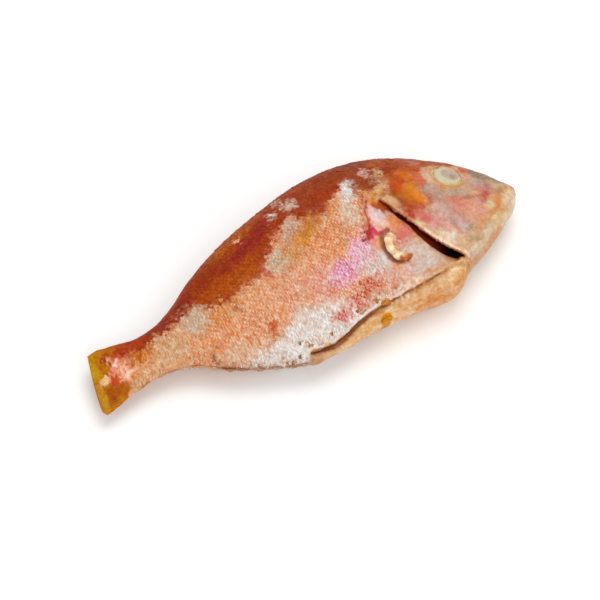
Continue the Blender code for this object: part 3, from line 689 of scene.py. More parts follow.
def cut_flesh_and_cavity_shade(layers, points, depth):
    """Inside the gill opening and the belly slit: the brown of the cut flesh, darkened deeper in as painted shade, to
    black in the gill opening.
    """
    x, y, z = points.T
    far, where, side = off_line(GILL_EDGE, x, y)
    near = ramp(far, 0.0125, 0.0105)
    inside = near * ramp(depth, 0.0004, 0.0012)
    wash(layers, inside, paint(188, 84, 26), paint(150, 52, 14), 0.7)
    # painted shade of the cavity: red-brown deeper in, and black deep in its lower part
    wash(layers, inside * ramp(depth, 0.0009, 0.0020) * ramp(where, 0.10, 0.34), paint(124, 38, 18), paint(92, 18, 8), 0.6)
    wash(layers, inside * ramp(depth, 0.0016, 0.0034) * ramp(where, 0.62, 0.84), paint(20, 6, 3), PITCH, 0.3)
    far, where, side = off_line(BELLY_EDGE, x, y)
    inside = ramp(far, 0.0070, 0.0055) * ramp(depth, 0.0010, 0.0018) * (z > -0.004)
    wash(layers, inside, paint(184, 126, 68), paint(160, 96, 46), 0.6)
    # painted shade: darker brown deeper in the slit
    wash(layers, inside * ramp(depth, 0.0015, 0.0026) * ramp(where, 0.62, 0.40), paint(112, 52, 20), paint(84, 38, 14), 0.5)


def colour_mesh(mesh, points):
    """Writes the skin's colours at these upright points, one for each vertex."""
    write_colours(mesh, skin_colours(points))


def write_colours(mesh, layers):
    tint, fleck, amount = layers
    one = np.ones((len(tint), 1))
    set_layer(mesh, "tint", "FLOAT_COLOR", np.hstack([tint, one]))
    set_layer(mesh, "fleck", "FLOAT_COLOR", np.hstack([fleck, one]))
    set_layer(mesh, "mottle", "FLOAT", amount)


# ---------------------------------------------------------------------------------------------------
# Materials
# ---------------------------------------------------------------------------------------------------


class Shader:
    """A material's node tree, with one call for each node."""

    def __init__(self, name, roughness=0.45, coat=0.0, subsurface=0.0):
        self.material = bpy.data.materials.new(name)
        self.material.use_nodes = True
        self.tree = self.material.node_tree
        self.surface = self.tree.nodes["Principled BSDF"]
        self.surface.inputs["Roughness"].default_value = roughness
        self.surface.inputs["Specular IOR Level"].default_value = 0.07
        self.surface.inputs["Coat Weight"].default_value = coat
        self.surface.inputs["Coat Roughness"].default_value = 0.22
        self.surface.inputs["Subsurface Weight"].default_value = subsurface
        self.surface.inputs["Subsurface Radius"].default_value = (1.0, 0.35, 0.2)
        self.surface.inputs["Subsurface Scale"].default_value = 0.0025

    def node(self, kind, **values):
        made = self.tree.nodes.new(kind)
        for name, value in values.items():
            setattr(made, name, value)
        return made

    def join(self, start, socket):
        self.tree.links.new(start, socket)

    def place(self, stretch=(1.0, 1.0, 1.0)):
        coordinates_node = self.node("ShaderNodeTexCoord")
        mapping = self.node("ShaderNodeMapping")
        mapping.inputs["Scale"].default_value = stretch
        self.join(coordinates_node.outputs["Object"], mapping.inputs["Vector"])
        return mapping.outputs["Vector"]

    def noise(self, size, detail=3.0, rough=0.55, where=None, distortion=0.0):
        made = self.node("ShaderNodeTexNoise")
        made.inputs["Scale"].default_value = 1.0 / size
        made.inputs["Detail"].default_value = detail
        made.inputs["Roughness"].default_value = rough
        made.inputs["Distortion"].default_value = distortion
        self.join(where or self.place(), made.inputs["Vector"])
        return made.outputs["Fac"]

    def layer(self, name, colour=False):
        made = self.node("ShaderNodeAttribute", attribute_name=name)
        return made.outputs["Color" if colour else "Fac"]

    def math(self, operation, first, second=0.5, clamp=False):
        made = self.node("ShaderNodeMath", operation=operation, use_clamp=clamp)
        for socket, value in zip(made.inputs, (first, second)):
            if isinstance(value, (int, float)):
                socket.default_value = value
            else:
                self.join(value, socket)
        return made.outputs[0]

    def ramp(self, value, low, high, bottom=0.0, top=1.0):
        made = self.node("ShaderNodeMapRange", interpolation_type="SMOOTHSTEP")
        self.join(value, made.inputs["Value"])
        for name, number in zip(("From Min", "From Max", "To Min", "To Max"), (low, high, bottom, top)):
            made.inputs[name].default_value = number
        return made.outputs["Result"]

    def mix(self, share, first, second, blend="MIX"):
        made = self.node("ShaderNodeMix", data_type="RGBA", blend_type=blend)
        for socket, value in ((made.inputs[0], share), (made.inputs[6], first), (made.inputs[7], second)):
            if isinstance(value, (int, float)):
                socket.default_value = value
            elif isinstance(value, (tuple, list, np.ndarray)):
                socket.default_value = (*value[:3], 1.0)
            else:
                self.join(value, socket)
        return made.outputs[2]

    def enliven(self, colour, size, share=1.0, stretch=(1.0, 1.0, 1.0)):
        """The colour turned now deeper and more saturated, now paler, in small soft blotches."""
        small = self.ramp(self.noise(size, detail=4.0, rough=0.7, where=self.place(stretch)), 0.33, 0.67)
        colour = self.mix(share, colour, self.mix(small, (0.80, 0.64, 0.54), (1.14, 1.30, 1.40)), "MULTIPLY")
        broad = self.ramp(self.noise(size * 3.2, detail=2.0), 0.36, 0.64)
        return self.mix(share, colour, self.mix(broad, (0.95, 0.86, 0.80), (1.05, 1.12, 1.16)), "MULTIPLY")

    def finish(self, colour, roughness=None, bump=None, strength=0.3, depth=0.0003):
        self.join(colour, self.surface.inputs["Base Color"])
        if roughness is not None:
            self.join(roughness, self.surface.inputs["Roughness"])
        if bump is not None:
            made = self.node("ShaderNodeBump")
            made.inputs["Strength"].default_value = strength
            made.inputs["Distance"].default_value = depth
            self.join(bump, made.inputs["Height"])
            self.join(made.outputs["Normal"], self.surface.inputs["Normal"])
        return self.material


def skin_material(name, rays=None):
    """Bare moist skin: the painted tints with flecks, blotches and fine pores, ribbed where it holds fin rays."""
    s = Shader(name, coat=0.02, subsurface=0.05)
    patchy = s.noise(0.0055, detail=4.0)
    grainy = s.noise(0.0015, detail=4.0, rough=0.65)
    fine = s.noise(0.0006, detail=2.0)
    mingled = s.math("ADD", s.math("MULTIPLY", grainy, 0.65), s.math("MULTIPLY", patchy, 0.35))
    speck = s.math("MULTIPLY", s.ramp(mingled, 0.45, 0.58), s.layer("mottle"))
    colour = s.mix(speck, s.layer("tint", True), s.layer("fleck", True))
    colour = s.enliven(colour, 0.0024, 0.5)
    if rays:
        colour = s.mix(s.ramp(s.layer(rays), 0.30, 0.80, 0.30, 0.0), colour, (0.40, 0.16, 0.05), "MULTIPLY")
    height = s.math("ADD", s.math("MULTIPLY", grainy, 0.6), s.math("MULTIPLY", fine, 0.5))
    rough = s.ramp(s.noise(0.004, detail=2.0), 0.3, 0.7, 0.38, 0.54)
    return s.finish(colour, rough, height, 0.40, 0.00025)


def scale_material():
    """Scales: each takes the skin's tint, with a crescent of flecks behind its free edge and painted shade at its root,
    under the scale in front.
    """
    s = Shader("scale", coat=0.02, subsurface=0.05)
    uv = s.node("ShaderNodeUVMap", uv_map="plate")
    parts = s.node("ShaderNodeSeparateXYZ")
    s.join(uv.outputs["UV"], parts.inputs[0])
    along, across = parts.outputs["X"], parts.outputs["Y"]
    patchy = s.noise(0.0050, detail=4.0)
    grainy = s.noise(0.0011, detail=3.0, rough=0.65)
    wander = s.math("ADD", along, s.ramp(grainy, 0.3, 0.7, -0.12, 0.12))
    band = s.math("MULTIPLY", s.ramp(wander, 0.42, 0.58), s.ramp(wander, 1.02, 0.84))
    ends = s.ramp(s.math("ABSOLUTE", s.math("SUBTRACT", across, 0.5)), 0.49, 0.33)
    luck = s.layer("luck")
    chance = s.ramp(s.math("ADD", luck, s.math("MULTIPLY", grainy, 0.6)), 0.35, 1.00)
    dash = s.math("MULTIPLY", s.math("MULTIPLY", band, ends), chance)
    mingled = s.math("ADD", s.math("MULTIPLY", grainy, 0.6), s.math("MULTIPLY", patchy, 0.4))
    fleck = s.math("ADD", dash, s.ramp(mingled, 0.50, 0.64, 0.0, 0.5), clamp=True)
    colour = s.mix(s.math("MULTIPLY", fleck, s.layer("mottle")), s.layer("tint", True), s.layer("fleck", True))
    pale = s.math("MULTIPLY", s.ramp(wander, 0.50, 0.28, 0.0, 0.32), s.layer("paleness"))
    colour = s.mix(pale, colour, paint(238, 216, 194))
    dark = s.math("SUBTRACT", 1.0, s.math("MULTIPLY", s.layer("paleness"), 0.7))
    colour = s.mix(s.math("MULTIPLY", s.ramp(luck, 0.0, 1.0, 0.42, 0.0), dark), colour, (0.50, 0.28, 0.16), "MULTIPLY")
    colour = s.enliven(colour, 0.0013, 1.0, (1.5, 0.5, 0.7))
    # painted shade: reddish-brown darkening at the root, where the scale slips under the one in front
    colour = s.mix(s.ramp(along, 0.30, 0.12, 0.0, 0.30), colour, (0.40, 0.16, 0.08), "MULTIPLY")
    fan = s.node("ShaderNodeTexWave", wave_type="RINGS", rings_direction="Z")
    s.join(uv.outputs["UV"], fan.inputs["Vector"])
    fan.inputs["Scale"].default_value = 6.0
    fan.inputs["Distortion"].default_value = 1.5
    rough = s.ramp(s.noise(0.004, detail=2.0), 0.3, 0.7, 0.40, 0.55)
    height = s.math("ADD", s.math("MULTIPLY", fan.outputs["Fac"], 0.3), grainy)
    return s.finish(colour, rough, height, 0.25, 0.00012)


# ---------------------------------------------------------------------------------------------------
# Skin: body with gill covers, mouth, eye sockets and belly flaps
# ---------------------------------------------------------------------------------------------------


def flap_cutter(name, flap, side, steps):
    """The slot under a flap's free edge, with the hollow beside the edge."""
    path = along_line(flap.edge, steps)
    rings = []
    for k, t in enumerate(np.linspace(0.0, 1.0, steps)):
        before, after = path[max(k - 2, 0)], path[min(k + 2, steps - 1)]
        edge = flank_point(*path[k], side)
        normal = flank_normal(edge.x, edge.y, side)
        away = side * (flank_point(*after, side) - flank_point(*before, side)).cross(normal).normalized()
        along = [list(zip(np.linspace(0.0, 1.0, len(values)), values)) for values in flap[1:6]]
        thick, opening, hollow, reach, depth = (float(line_at(line, t)) for line in along)
        closing = 1.0 - 0.75 * float(ramp(t, 0.90, 1.0)) - 0.4 * float(ramp(t, 0.06, 0.0))
        opening, hollow = opening * closing, hollow * closing
        tooth = flap.ragged * float(cloud(np.array([[t * 40.0, side * 3.0]]), 1.0, 5)[0])
        profile = [
            (-reach, depth),
            (-0.0006 + tooth, thick),
            (tooth, thick * 0.55),
            (tooth, -0.010),
            (hollow * 1.1, -0.010),
            (hollow, -0.0002),
            (hollow * 0.62, 0.62 * (thick + opening)),
            (hollow * 0.28, 0.96 * (thick + opening)),
            (0.0, thick + opening),
            (-reach, depth + opening),
        ]
        rings.append([edge + away * out - normal * deep for out, deep in profile])
    return new_object(name, loft(name, rings), hidden=True)


def eye_frame(side):
    """Centre of the eye on the skin, the axes in its plane (fore and up) and the one it looks along."""
    out = flank_normal(EYE.x, EYE.y, side)
    fore = (Vector((1.0, 0.0, 0.0)) - out * out.x).normalized()
    up = side * out.cross(fore)
    return flank_point(EYE.x, EYE.y, side), fore, up, out


def ball(name, centre, axes, sizes, detail):
    work = bmesh.new()
    bmesh.ops.create_uvsphere(work, u_segments=detail[0], v_segments=detail[1], radius=1.0)
    for v in work.verts:
        v.co = centre + sum((axis * size * share for axis, size, share in zip(axes, sizes, v.co)), Vector())
    bmesh.ops.recalc_face_normals(work, faces=work.faces)
    mesh = bpy.data.meshes.new(name)
    work.to_mesh(mesh)
    work.free()
    return mesh


def socket_cutter(side):
    centre, fore, up, out = eye_frame(side)
    name = "socket_right" if side > 0 else "socket_left"
    sizes = (EYE.radius + 0.0004, EYE.radius + 0.0004, EYE.depth + 0.0006)
    mesh = ball(name, centre + out * (EYE.proud - EYE.depth), (fore, up, out), sizes, (48, 24))
    return new_object(name, mesh, hidden=True)


def body_shell():
    """The whole body as one fine closed skin, with its openings cut and their rims softened."""
    straight = np.linspace(TAIL_END, SNOUT_START, 190)
    rounded = SNOUT_START + (SNOUT - SNOUT_START) * np.sin(np.linspace(0.0, 0.49 * np.pi, 22)[1:])
    rings = [ring_at(x, 160) for x in (*straight, *rounded)]
    body = new_object("skin", loft("skin", rings))
    steps = 110
    cutters = [flap_cutter("gill_slot_right", GILL_COVER, 1, steps), flap_cutter("gill_slot_left", GILL_COVER, -1, steps)]
    cutters += [flap_cutter("belly_slit", BELLY_FLAP, 1, steps), socket_cutter(1), socket_cutter(-1)]
    for cutter in cutters:
        cut = body.modifiers.new(cutter.name, "BOOLEAN")
        cut.object, cut.operation, cut.solver = cutter, "DIFFERENCE", "EXACT"
    evaluated(body)
    drop(*cutters)
    melt = body.modifiers.new("melt", "REMESH")
    melt.mode, melt.voxel_size = "VOXEL", 0.00055
    soften = body.modifiers.new("soften", "SMOOTH")
    soften.factor, soften.iterations = 0.5, 4
    evaluated(body)
    return body


def relief(points, normals):
    """Upright skin points moved along their normals by the fine forms of the head, back and belly."""
    x, y, z = points.T
    depth = depth_under_skin(points)
    outer = ramp(depth, 0.0016, 0.0006)
    rise = np.zeros(len(x))
    # unevenness of soft flesh
    rise += 0.00030 * cloud(points, 0.017, 11) + 0.00016 * cloud(points, 0.0055, 12)
    lumpy = ramp(x, 0.030, 0.045)
    rise += (0.00016 * cloud(points, 0.0024, 14) + 0.00022 * cloud(points, 0.0046, 18)) * lumpy
    rise -= 0.00035 * scaled_share(points)
    # gill cover: its rear edge swells, and the preopercle's ridge crosses the cheek
    far, where, side = off_line(GILL_EDGE, x, y)
    rise += outer * (side > 0) * 0.0006 * ramp(far, 0.0060, 0.0010) * ramp(x, 0.050, 0.056)
    far, where, side = off_line(PREOPERCLE, x, y)
    rise += outer * (0.00045 * np.exp(-((far * (side > 0) - 0.0018) / 0.0015) ** 2) - 0.00040 * np.exp(-((far / 0.0011) ** 2)))
    # orbit and cheek
    across = np.hypot(x - EYE.x, y - EYE.y)
    rise += outer * 0.0006 * np.exp(-(((across - EYE.radius - 0.0016) / 0.0012) ** 2))
    rise -= outer * 0.0007 * np.exp(-(((across - EYE.radius - 0.0045) / 0.0022) ** 2)) * ramp(y, 0.024, 0.014)
    # lips, jaw and nostrils
    far, where, side = off_line(MOUTH_LINE, x, y)
    front = ramp(x, 0.114, 0.120) * ramp(x, 0.1412, 0.1385)
    lip, crease = np.exp(-(((far - 0.0016) / 0.0010) ** 2)), np.exp(-((far / 0.0006) ** 2))
    rise += front * (0.0003 * lip - 0.0005 * crease)
    for line, depth_of_fold in ((LIP_FOLD, 0.0005), (CHEEK_FOLD, 0.0004)):
        far, where, side = off_line(line, x, y)
        fade = ramp(where, 0.0, 0.15) * ramp(where, 1.0, 0.8)
        rise -= outer * fade * depth_of_fold * (np.exp(-((far / 0.0009) ** 2)) - 0.6 * np.exp(-(((far - 0.0022) / 0.0014) ** 2)))
    for nx, ny, wide in ((0.1185, 0.0188, 0.0010), (0.1212, 0.0168, 0.0008)):
        away = np.hypot(x - nx, y - ny)
        rise += outer * (0.0003 * np.exp(-(((away - wide - 0.0004) / 0.0004) ** 2)) - 0.0011 * np.exp(-((away / wide) ** 2)))
    # shoulder crease, vent, and the roots of the dorsal and anal fins
    far, where, side = off_line(SHOULDER_LINE, x, y)
    rise += outer * (0.0006 * np.exp(-(((far - 0.0014) / 0.0010) ** 2)) * (side < 0) - 0.0007 * np.exp(-((far / 0.0007) ** 2)))
    rise += 0.0012 * np.exp(-(((x + 0.0235) / 0.0040) ** 2)) * ramp(y, -0.040, -0.0445)
    back = ramp(np.abs(z), 0.0028, 0.0008) * (y > 0) * ramp(x, -0.094, -0.086) * ramp(x, 0.052, 0.044)
    rise += back * 0.0004
    # wrinkles of the bare breast and lower flap
    edge = np.interp(x, *np.array(BELLY_EDGE).T)
    bare = outer * ramp(y - edge, 0.0, -0.0015) * ramp(x, -0.026, -0.018) * ramp(x, 0.076, 0.068)
    folds = cloud(np.stack([x * 0.22, y, z], 1), 0.0021, 13)
    rise += bare * (0.00050 * folds + 0.00035 * cloud(points, 0.0060, 19))
    return points + normals * rise[:, None]


def vertex_normals(mesh):
    found = np.empty(len(mesh.vertices) * 3, np.float32)
    mesh.vertex_normals.foreach_get("vector", found)
    return found.reshape(-1, 3).astype(float)


def skin():
    body = body_shell()
    mesh = body.data
    points = relief(coordinates(mesh), vertex_normals(mesh))
    move_vertices(mesh, points)
    covered = scaled_share(points)
    group = body.vertex_groups.new(name="under_scales")
    for level in range(11):
        chosen = np.nonzero(np.round(10 * covered) == level)[0]
        group.add(chosen.tolist(), 0.05 + 0.095 * level, "REPLACE")
    triangles = 2 * len(mesh.polygons)
    thin = body.modifiers.new("thin", "DECIMATE")
    thin.ratio = min(1.0, (185_000) / triangles)
    thin.vertex_group, thin.vertex_group_factor = "under_scales", 1.0
    evaluated(body)
    body.vertex_groups.clear()
    mesh = body.data
    colour_mesh(mesh, coordinates(mesh))
    lay_down(mesh)
    mesh.shade_smooth()
    mesh.materials.clear()
    mesh.materials.append(skin_material("moist_skin"))
    return body


# ---------------------------------------------------------------------------------------------------
# Scales
# ---------------------------------------------------------------------------------------------------

# The scaled part of a flank ends in front at this line, given as the furthest x at each height y.
SCALES_END = [
    (-0.0500, 0.010), (-0.0380, 0.030), (-0.0330, 0.040), (-0.0260, 0.041), (-0.0210, 0.036),
    (-0.0100, 0.0345), (0.0000, 0.0335), (0.0080, 0.0375), (0.0160, 0.0420), (0.0240, 0.0470),
    (0.0300, 0.0560), (0.0360, 0.0700), (0.0420, 0.0800), (0.0500, 0.0830), (0.0700, 0.0830),
]


def scaled_share(points):
    """1 where scales cover the skin, 0 where it is bare."""
    x, y, z = points.T
    front = line_at(SCALES_END, y)
    edge = np.interp(x, *np.array(BELLY_EDGE).T)
    belly = ramp(y - edge, 0.0008, 0.0022) + ramp(x, -0.026, -0.031)
    ridge = ramp(np.abs(z), 0.0010, 0.0024) + (x > 0.052) + (y < 0)
    behind = ramp(front - x, -0.0004, 0.0012)
    return np.clip(behind, 0, 1) * np.clip(belly, 0, 1) * np.clip(ridge, 0, 1) * ramp(x, -0.1235, -0.1205)


def scale_plate():
    """One scale, a millimetre across: +X to its free rounded edge, +Y up the flank, +Z outwards."""
    root = [(-0.75, -0.34, 0.0), (-0.75, 0.34, 0.0)]
    middle = [(0.05, -0.54, -0.03), (0.05, 0.0, 0.085), (0.05, 0.54, -0.03)]
    turns = [math.radians(a) for a in (-68, -36, 0, 36, 68)]
    edge = [(0.30 + 0.58 * math.cos(a), 0.54 * math.sin(a), 0.055 * math.cos(a)) for a in turns]
    under = [(x * 0.985, y * 0.98, z - 0.085) for x, y, z in edge]
    faces = [(0, 2, 3), (0, 3, 1), (1, 3, 4), (2, 5, 6), (2, 6, 3), (3, 6, 7), (3, 7, 8), (3, 8, 4), (4, 8, 9)]
    faces += [(5 + k, 10 + k, 11 + k, 6 + k) for k in range(4)]
    faces += [(2, 10, 5), (4, 9, 14), (0, 1, 4, 14, 13, 12, 11, 10, 2)]
    mesh = mesh_from("plate", root + middle + edge + under, faces)
    layer = mesh.uv_layers.new(name="plate")
    for loop in mesh.loops:
        co = mesh.vertices[loop.vertex_index].co
        out = -0.8 if co.x < -0.5 else (0.0 if abs(co.x - 0.05) < 0.01 else 1.0)
        layer.data[loop.index].uv = (out, co.y / 1.08 + 0.5)
    mesh.shade_smooth()
    mesh.set_sharp_from_angle(angle=math.radians(50))
    return mesh


def scale_seats(side):
    """Where one flank's scales sit: upright columns, each half a scale up from the last."""
    seats, x, column = [], -0.1285, 0
    while x < 0.086:
        pitch = 0.00105 + 0.00040 * float(ramp(x, -0.115, -0.055)) - 0.00030 * float(ramp(x, 0.045, 0.075))
        ring = ring_at(x, 1440)
        half = ring[ring[:, 2] * side > 0]
        half = half[np.argsort(half[:, 1])]
        run = np.concatenate([[0.0], np.cumsum(np.linalg.norm(np.diff(half, axis=0), axis=1))])
        lateral = 0.0030 + 0.020 * float(ramp(x, -0.100, 0.040))
        zero, tall = np.interp(lateral, half[:, 1], run), pitch * 2.15
        at = zero + (np.arange(-80, 80) + 0.5 * (column % 2)) * tall
        at = at[(at > 0.0002) & (at < run[-1] - 0.0002)]
        ys, zs = np.interp(at, run, half[:, 1]), np.interp(at, run, half[:, 2])
        seats += [(x, y, z, pitch) for y, z in zip(ys, zs)]
        x += pitch
        column += 1
    seats = np.array(seats)
    points = seats[:, :3]
    points[:, 0] += 0.00018 * cloud(points, 0.0011, 21)
    points[:, 1] += 0.00018 * cloud(points, 0.0011, 22)
    torn = 0.0016 * cloud(points, 0.0030, 23)
    keep = (scaled_share(points) > 0.5) & (points[:, 0] > -0.1262 + torn)
    return seats[keep]


class GeometryTree:
    """A Geometry Nodes tree, with one call for each node."""

    def __init__(self, name, inputs):
        self.tree = bpy.data.node_groups.new(name, "GeometryNodeTree")
        face = self.tree.interface
        face.new_socket("Geometry", in_out="INPUT", socket_type="NodeSocketGeometry")
        for label, kind, value in inputs:
            made = face.new_socket(label, in_out="INPUT", socket_type=kind)
            if value is not None:
                made.default_value = value
        face.new_socket("Geometry", in_out="OUTPUT", socket_type="NodeSocketGeometry")
        self.start = self.tree.nodes.new("NodeGroupInput")
        self.end = self.tree.nodes.new("NodeGroupOutput")

    def node(self, kind, links=(), **values):
        made = self.tree.nodes.new(kind)
        for name, value in values.items():
            setattr(made, name, value)
        for socket, value in links:
            if isinstance(value, bpy.types.NodeSocket):
                self.tree.links.new(value, made.inputs[socket])
            else:
                made.inputs[socket].default_value = value
        return made

    def named(self, name, kind):
        made = self.node("GeometryNodeInputNamedAttribute", data_type=kind)
        made.inputs["Name"].default_value = name
        return made.outputs["Attribute"]

    def finish(self, geometry, material):
        solid = self.node("GeometryNodeRealizeInstances", [("Geometry", geometry)])
        dressed = self.node("GeometryNodeSetMaterial", [("Geometry", solid.outputs["Geometry"]), ("Material", material)])
        self.tree.links.new(dressed.outputs["Geometry"], self.end.inputs["Geometry"])

    def run(self, name, points, layers, values):
        """A piece grown by this tree on loose points that carry these layers."""
        mesh = bpy.data.meshes.new(name)
        mesh.from_pydata([tuple(p) for p in points], [], [])
        for label, kind, data in layers:
            layer = mesh.attributes.new(label, kind, "POINT")
            layer.data.foreach_set("vector" if kind == "FLOAT_VECTOR" else "value", np.asarray(data, np.float32).ravel())
        piece = new_object(name, mesh)
        modifier = piece.modifiers.new(name, "NODES")
        modifier.node_group = self.tree
        sockets = {item.name: item.identifier for item in self.tree.interface.items_tree if item.in_out == "INPUT"}
        for label, value in values.items():
            modifier[sockets[label]] = value
        evaluated(piece)
        return piece


def plate_rows_tree(material):
    """Sets one plate on each seat, turned to the skin, raised at its free edge and slightly uneven."""
    inputs = [
        ("Plate", "NodeSocketObject", None),
        ("Raise", "NodeSocketFloat", math.radians(3.6)),
        ("Unevenness", "NodeSocketFloat", math.radians(2.0)),
        ("Seed", "NodeSocketInt", 4),
    ]
    g = GeometryTree("scale_rows", inputs)
    plate = g.node("GeometryNodeObjectInfo", [("Object", g.start.outputs["Plate"]), ("As Instance", True)])
    axes = g.node(
        "FunctionNodeAxesToRotation",
        [("Primary Axis", g.named("outward", "FLOAT_VECTOR")), ("Secondary Axis", g.named("rearward", "FLOAT_VECTOR"))],
        primary_axis="Z",
        secondary_axis="X",
    )
    wobble = g.node("FunctionNodeRandomValue", [("Seed", g.start.outputs["Seed"])], data_type="FLOAT_VECTOR")
    wobble.inputs["Min"].default_value = (-1.0, -1.0, -1.0)
    wobble.inputs["Max"].default_value = (1.0, 1.0, 1.0)
    spread = g.node("ShaderNodeVectorMath", [(0, wobble.outputs[0])], operation="SCALE")
    g.tree.links.new(g.start.outputs["Unevenness"], spread.inputs["Scale"])
    raised = g.node("ShaderNodeCombineXYZ")
    minus = g.node("ShaderNodeMath", [(0, g.start.outputs["Raise"]), (1, -1.0)], operation="MULTIPLY")
    g.tree.links.new(minus.outputs[0], raised.inputs["Y"])
    angles = g.node("ShaderNodeVectorMath", [(0, spread.outputs[0]), (1, raised.outputs[0])], operation="ADD")
    tilt = g.node("FunctionNodeEulerToRotation", [(0, angles.outputs[0])])
    turned = g.node(
        "FunctionNodeRotateRotation",
        [("Rotation", axes.outputs[0]), ("Rotate By", tilt.outputs[0])],
        rotation_space="LOCAL",
    )
    placed = g.node(
        "GeometryNodeInstanceOnPoints",
        [
            ("Points", g.start.outputs["Geometry"]),
            ("Instance", plate.outputs["Geometry"]),
            ("Rotation", turned.outputs[0]),
            ("Scale", g.named("size", "FLOAT_VECTOR")),
        ],
    )
    g.finish(placed.outputs["Instances"], material)
    return g


def scales(name, side, plate, tree):
    """The overlapping scales of one flank, with its nape and tail root, as one piece."""
    seats = scale_seats(side)
    points, pitch = seats[:, :3], seats[:, 3]
    outward = np.array([flank_normal(max(x, TAIL_END + 0.001), y, side) for x, y, _ in points])
    sunk = points - outward * 0.00030
    rearward = np.tile([-1.0, 0.0, 0.0], (len(points), 1))
    size = np.stack([pitch * 2.5, pitch * 2.55, pitch * 2.3], 1)
    layers = [
        ("outward", "FLOAT_VECTOR", outward),
        ("rearward", "FLOAT_VECTOR", rearward),
        ("size", "FLOAT_VECTOR", size),
    ]
    piece = tree.run(name, sunk, layers, {"Plate": plate})
    mesh = piece.data
    vertices = coordinates(mesh)
    each = len(vertices) // len(points)
    chance = np.random.default_rng(7 + side)
    astray = chance.normal(0.0, 0.0011, points.shape)
    colour_mesh(mesh, 0.4 * np.repeat(points, each, 0) + 0.6 * vertices + np.repeat(astray, each, 0))
    shown = np.array([list(d.color) for d in mesh.attributes["tint"].data])[:, :3].min(1)
    set_layer(mesh, "paleness", "FLOAT", ramp(shown, 0.06, 0.22))
    set_layer(mesh, "luck", "FLOAT", np.repeat(chance.random(len(points)), each))
    lay_down(mesh)
    return piece


# ---------------------------------------------------------------------------------------------------
# Eyes
# ---------------------------------------------------------------------------------------------------


def eye_material():
    """A clouded cornea over a pale pupil with a tan spot, in a dull golden ring."""
    s = Shader("clouded_eye", coat=0.22, subsurface=0.1)
    s.surface.inputs["Coat Roughness"].default_value = 0.2
    uv = s.node("ShaderNodeUVMap", uv_map="eye")
    parts = s.node("ShaderNodeSeparateXYZ")
    s.join(uv.outputs["UV"], parts.inputs[0])
    fore, up = parts.outputs["X"], parts.outputs["Y"]

    def disc(x, y):
        """Distance in millimetres from a point of the eye's plane, a little uneven."""
        dx, dy = s.math("SUBTRACT", fore, x), s.math("SUBTRACT", up, y)
        square = s.math("ADD", s.math("MULTIPLY", dx, dx), s.math("MULTIPLY", dy, dy))
        return s.math("ADD", s.math("SQRT", square), s.ramp(s.noise(0.0045, 3.0), 0.3, 0.7, -0.5, 0.5))

    whole, lens, pupil = disc(0.0, 0.0), disc(0.3, 0.8), disc(2.0, 0.8)
    haze = s.noise(0.0022, detail=4.0)
    colour = s.mix(s.ramp(haze, 0.35, 0.65), paint(198, 158, 112), paint(208, 174, 132))
    low = s.ramp(s.math("ADD", s.math("MULTIPLY", fore, 0.5), up), 2.0, -6.0)
    colour = s.mix(s.math("MULTIPLY", low, s.ramp(whole, 8.4, 9.6, 0.0, 0.9)), colour, paint(184, 140, 66))
    colour = s.mix(s.math("MULTIPLY", s.ramp(fore, 2.0, 7.0, 0.0, 0.85), s.ramp(up, -7.0, -1.0)), colour, paint(200, 104, 66))
    colour = s.mix(s.ramp(up, 7.0, 9.5, 0.0, 0.8), colour, paint(160, 82, 48))
    colour = s.mix(s.ramp(lens, 9.0, 8.0, 0.0, 0.8), colour, paint(194, 172, 122))
    colour = s.mix(s.ramp(lens, 8.4, 7.4), colour, s.mix(haze, paint(184, 180, 150), paint(204, 192, 168)))
    colour = s.mix(s.ramp(pupil, 6.4, 5.0), colour, s.mix(haze, paint(168, 144, 126), paint(186, 166, 150)))
    colour = s.mix(s.ramp(disc(2.0, -2.2), 2.6, 0.8, 0.0, 0.8), colour, paint(160, 128, 90))
    rough = s.ramp(haze, 0.3, 0.7, 0.22, 0.38)
    return s.finish(colour, rough, haze, 0.15, 0.0003)


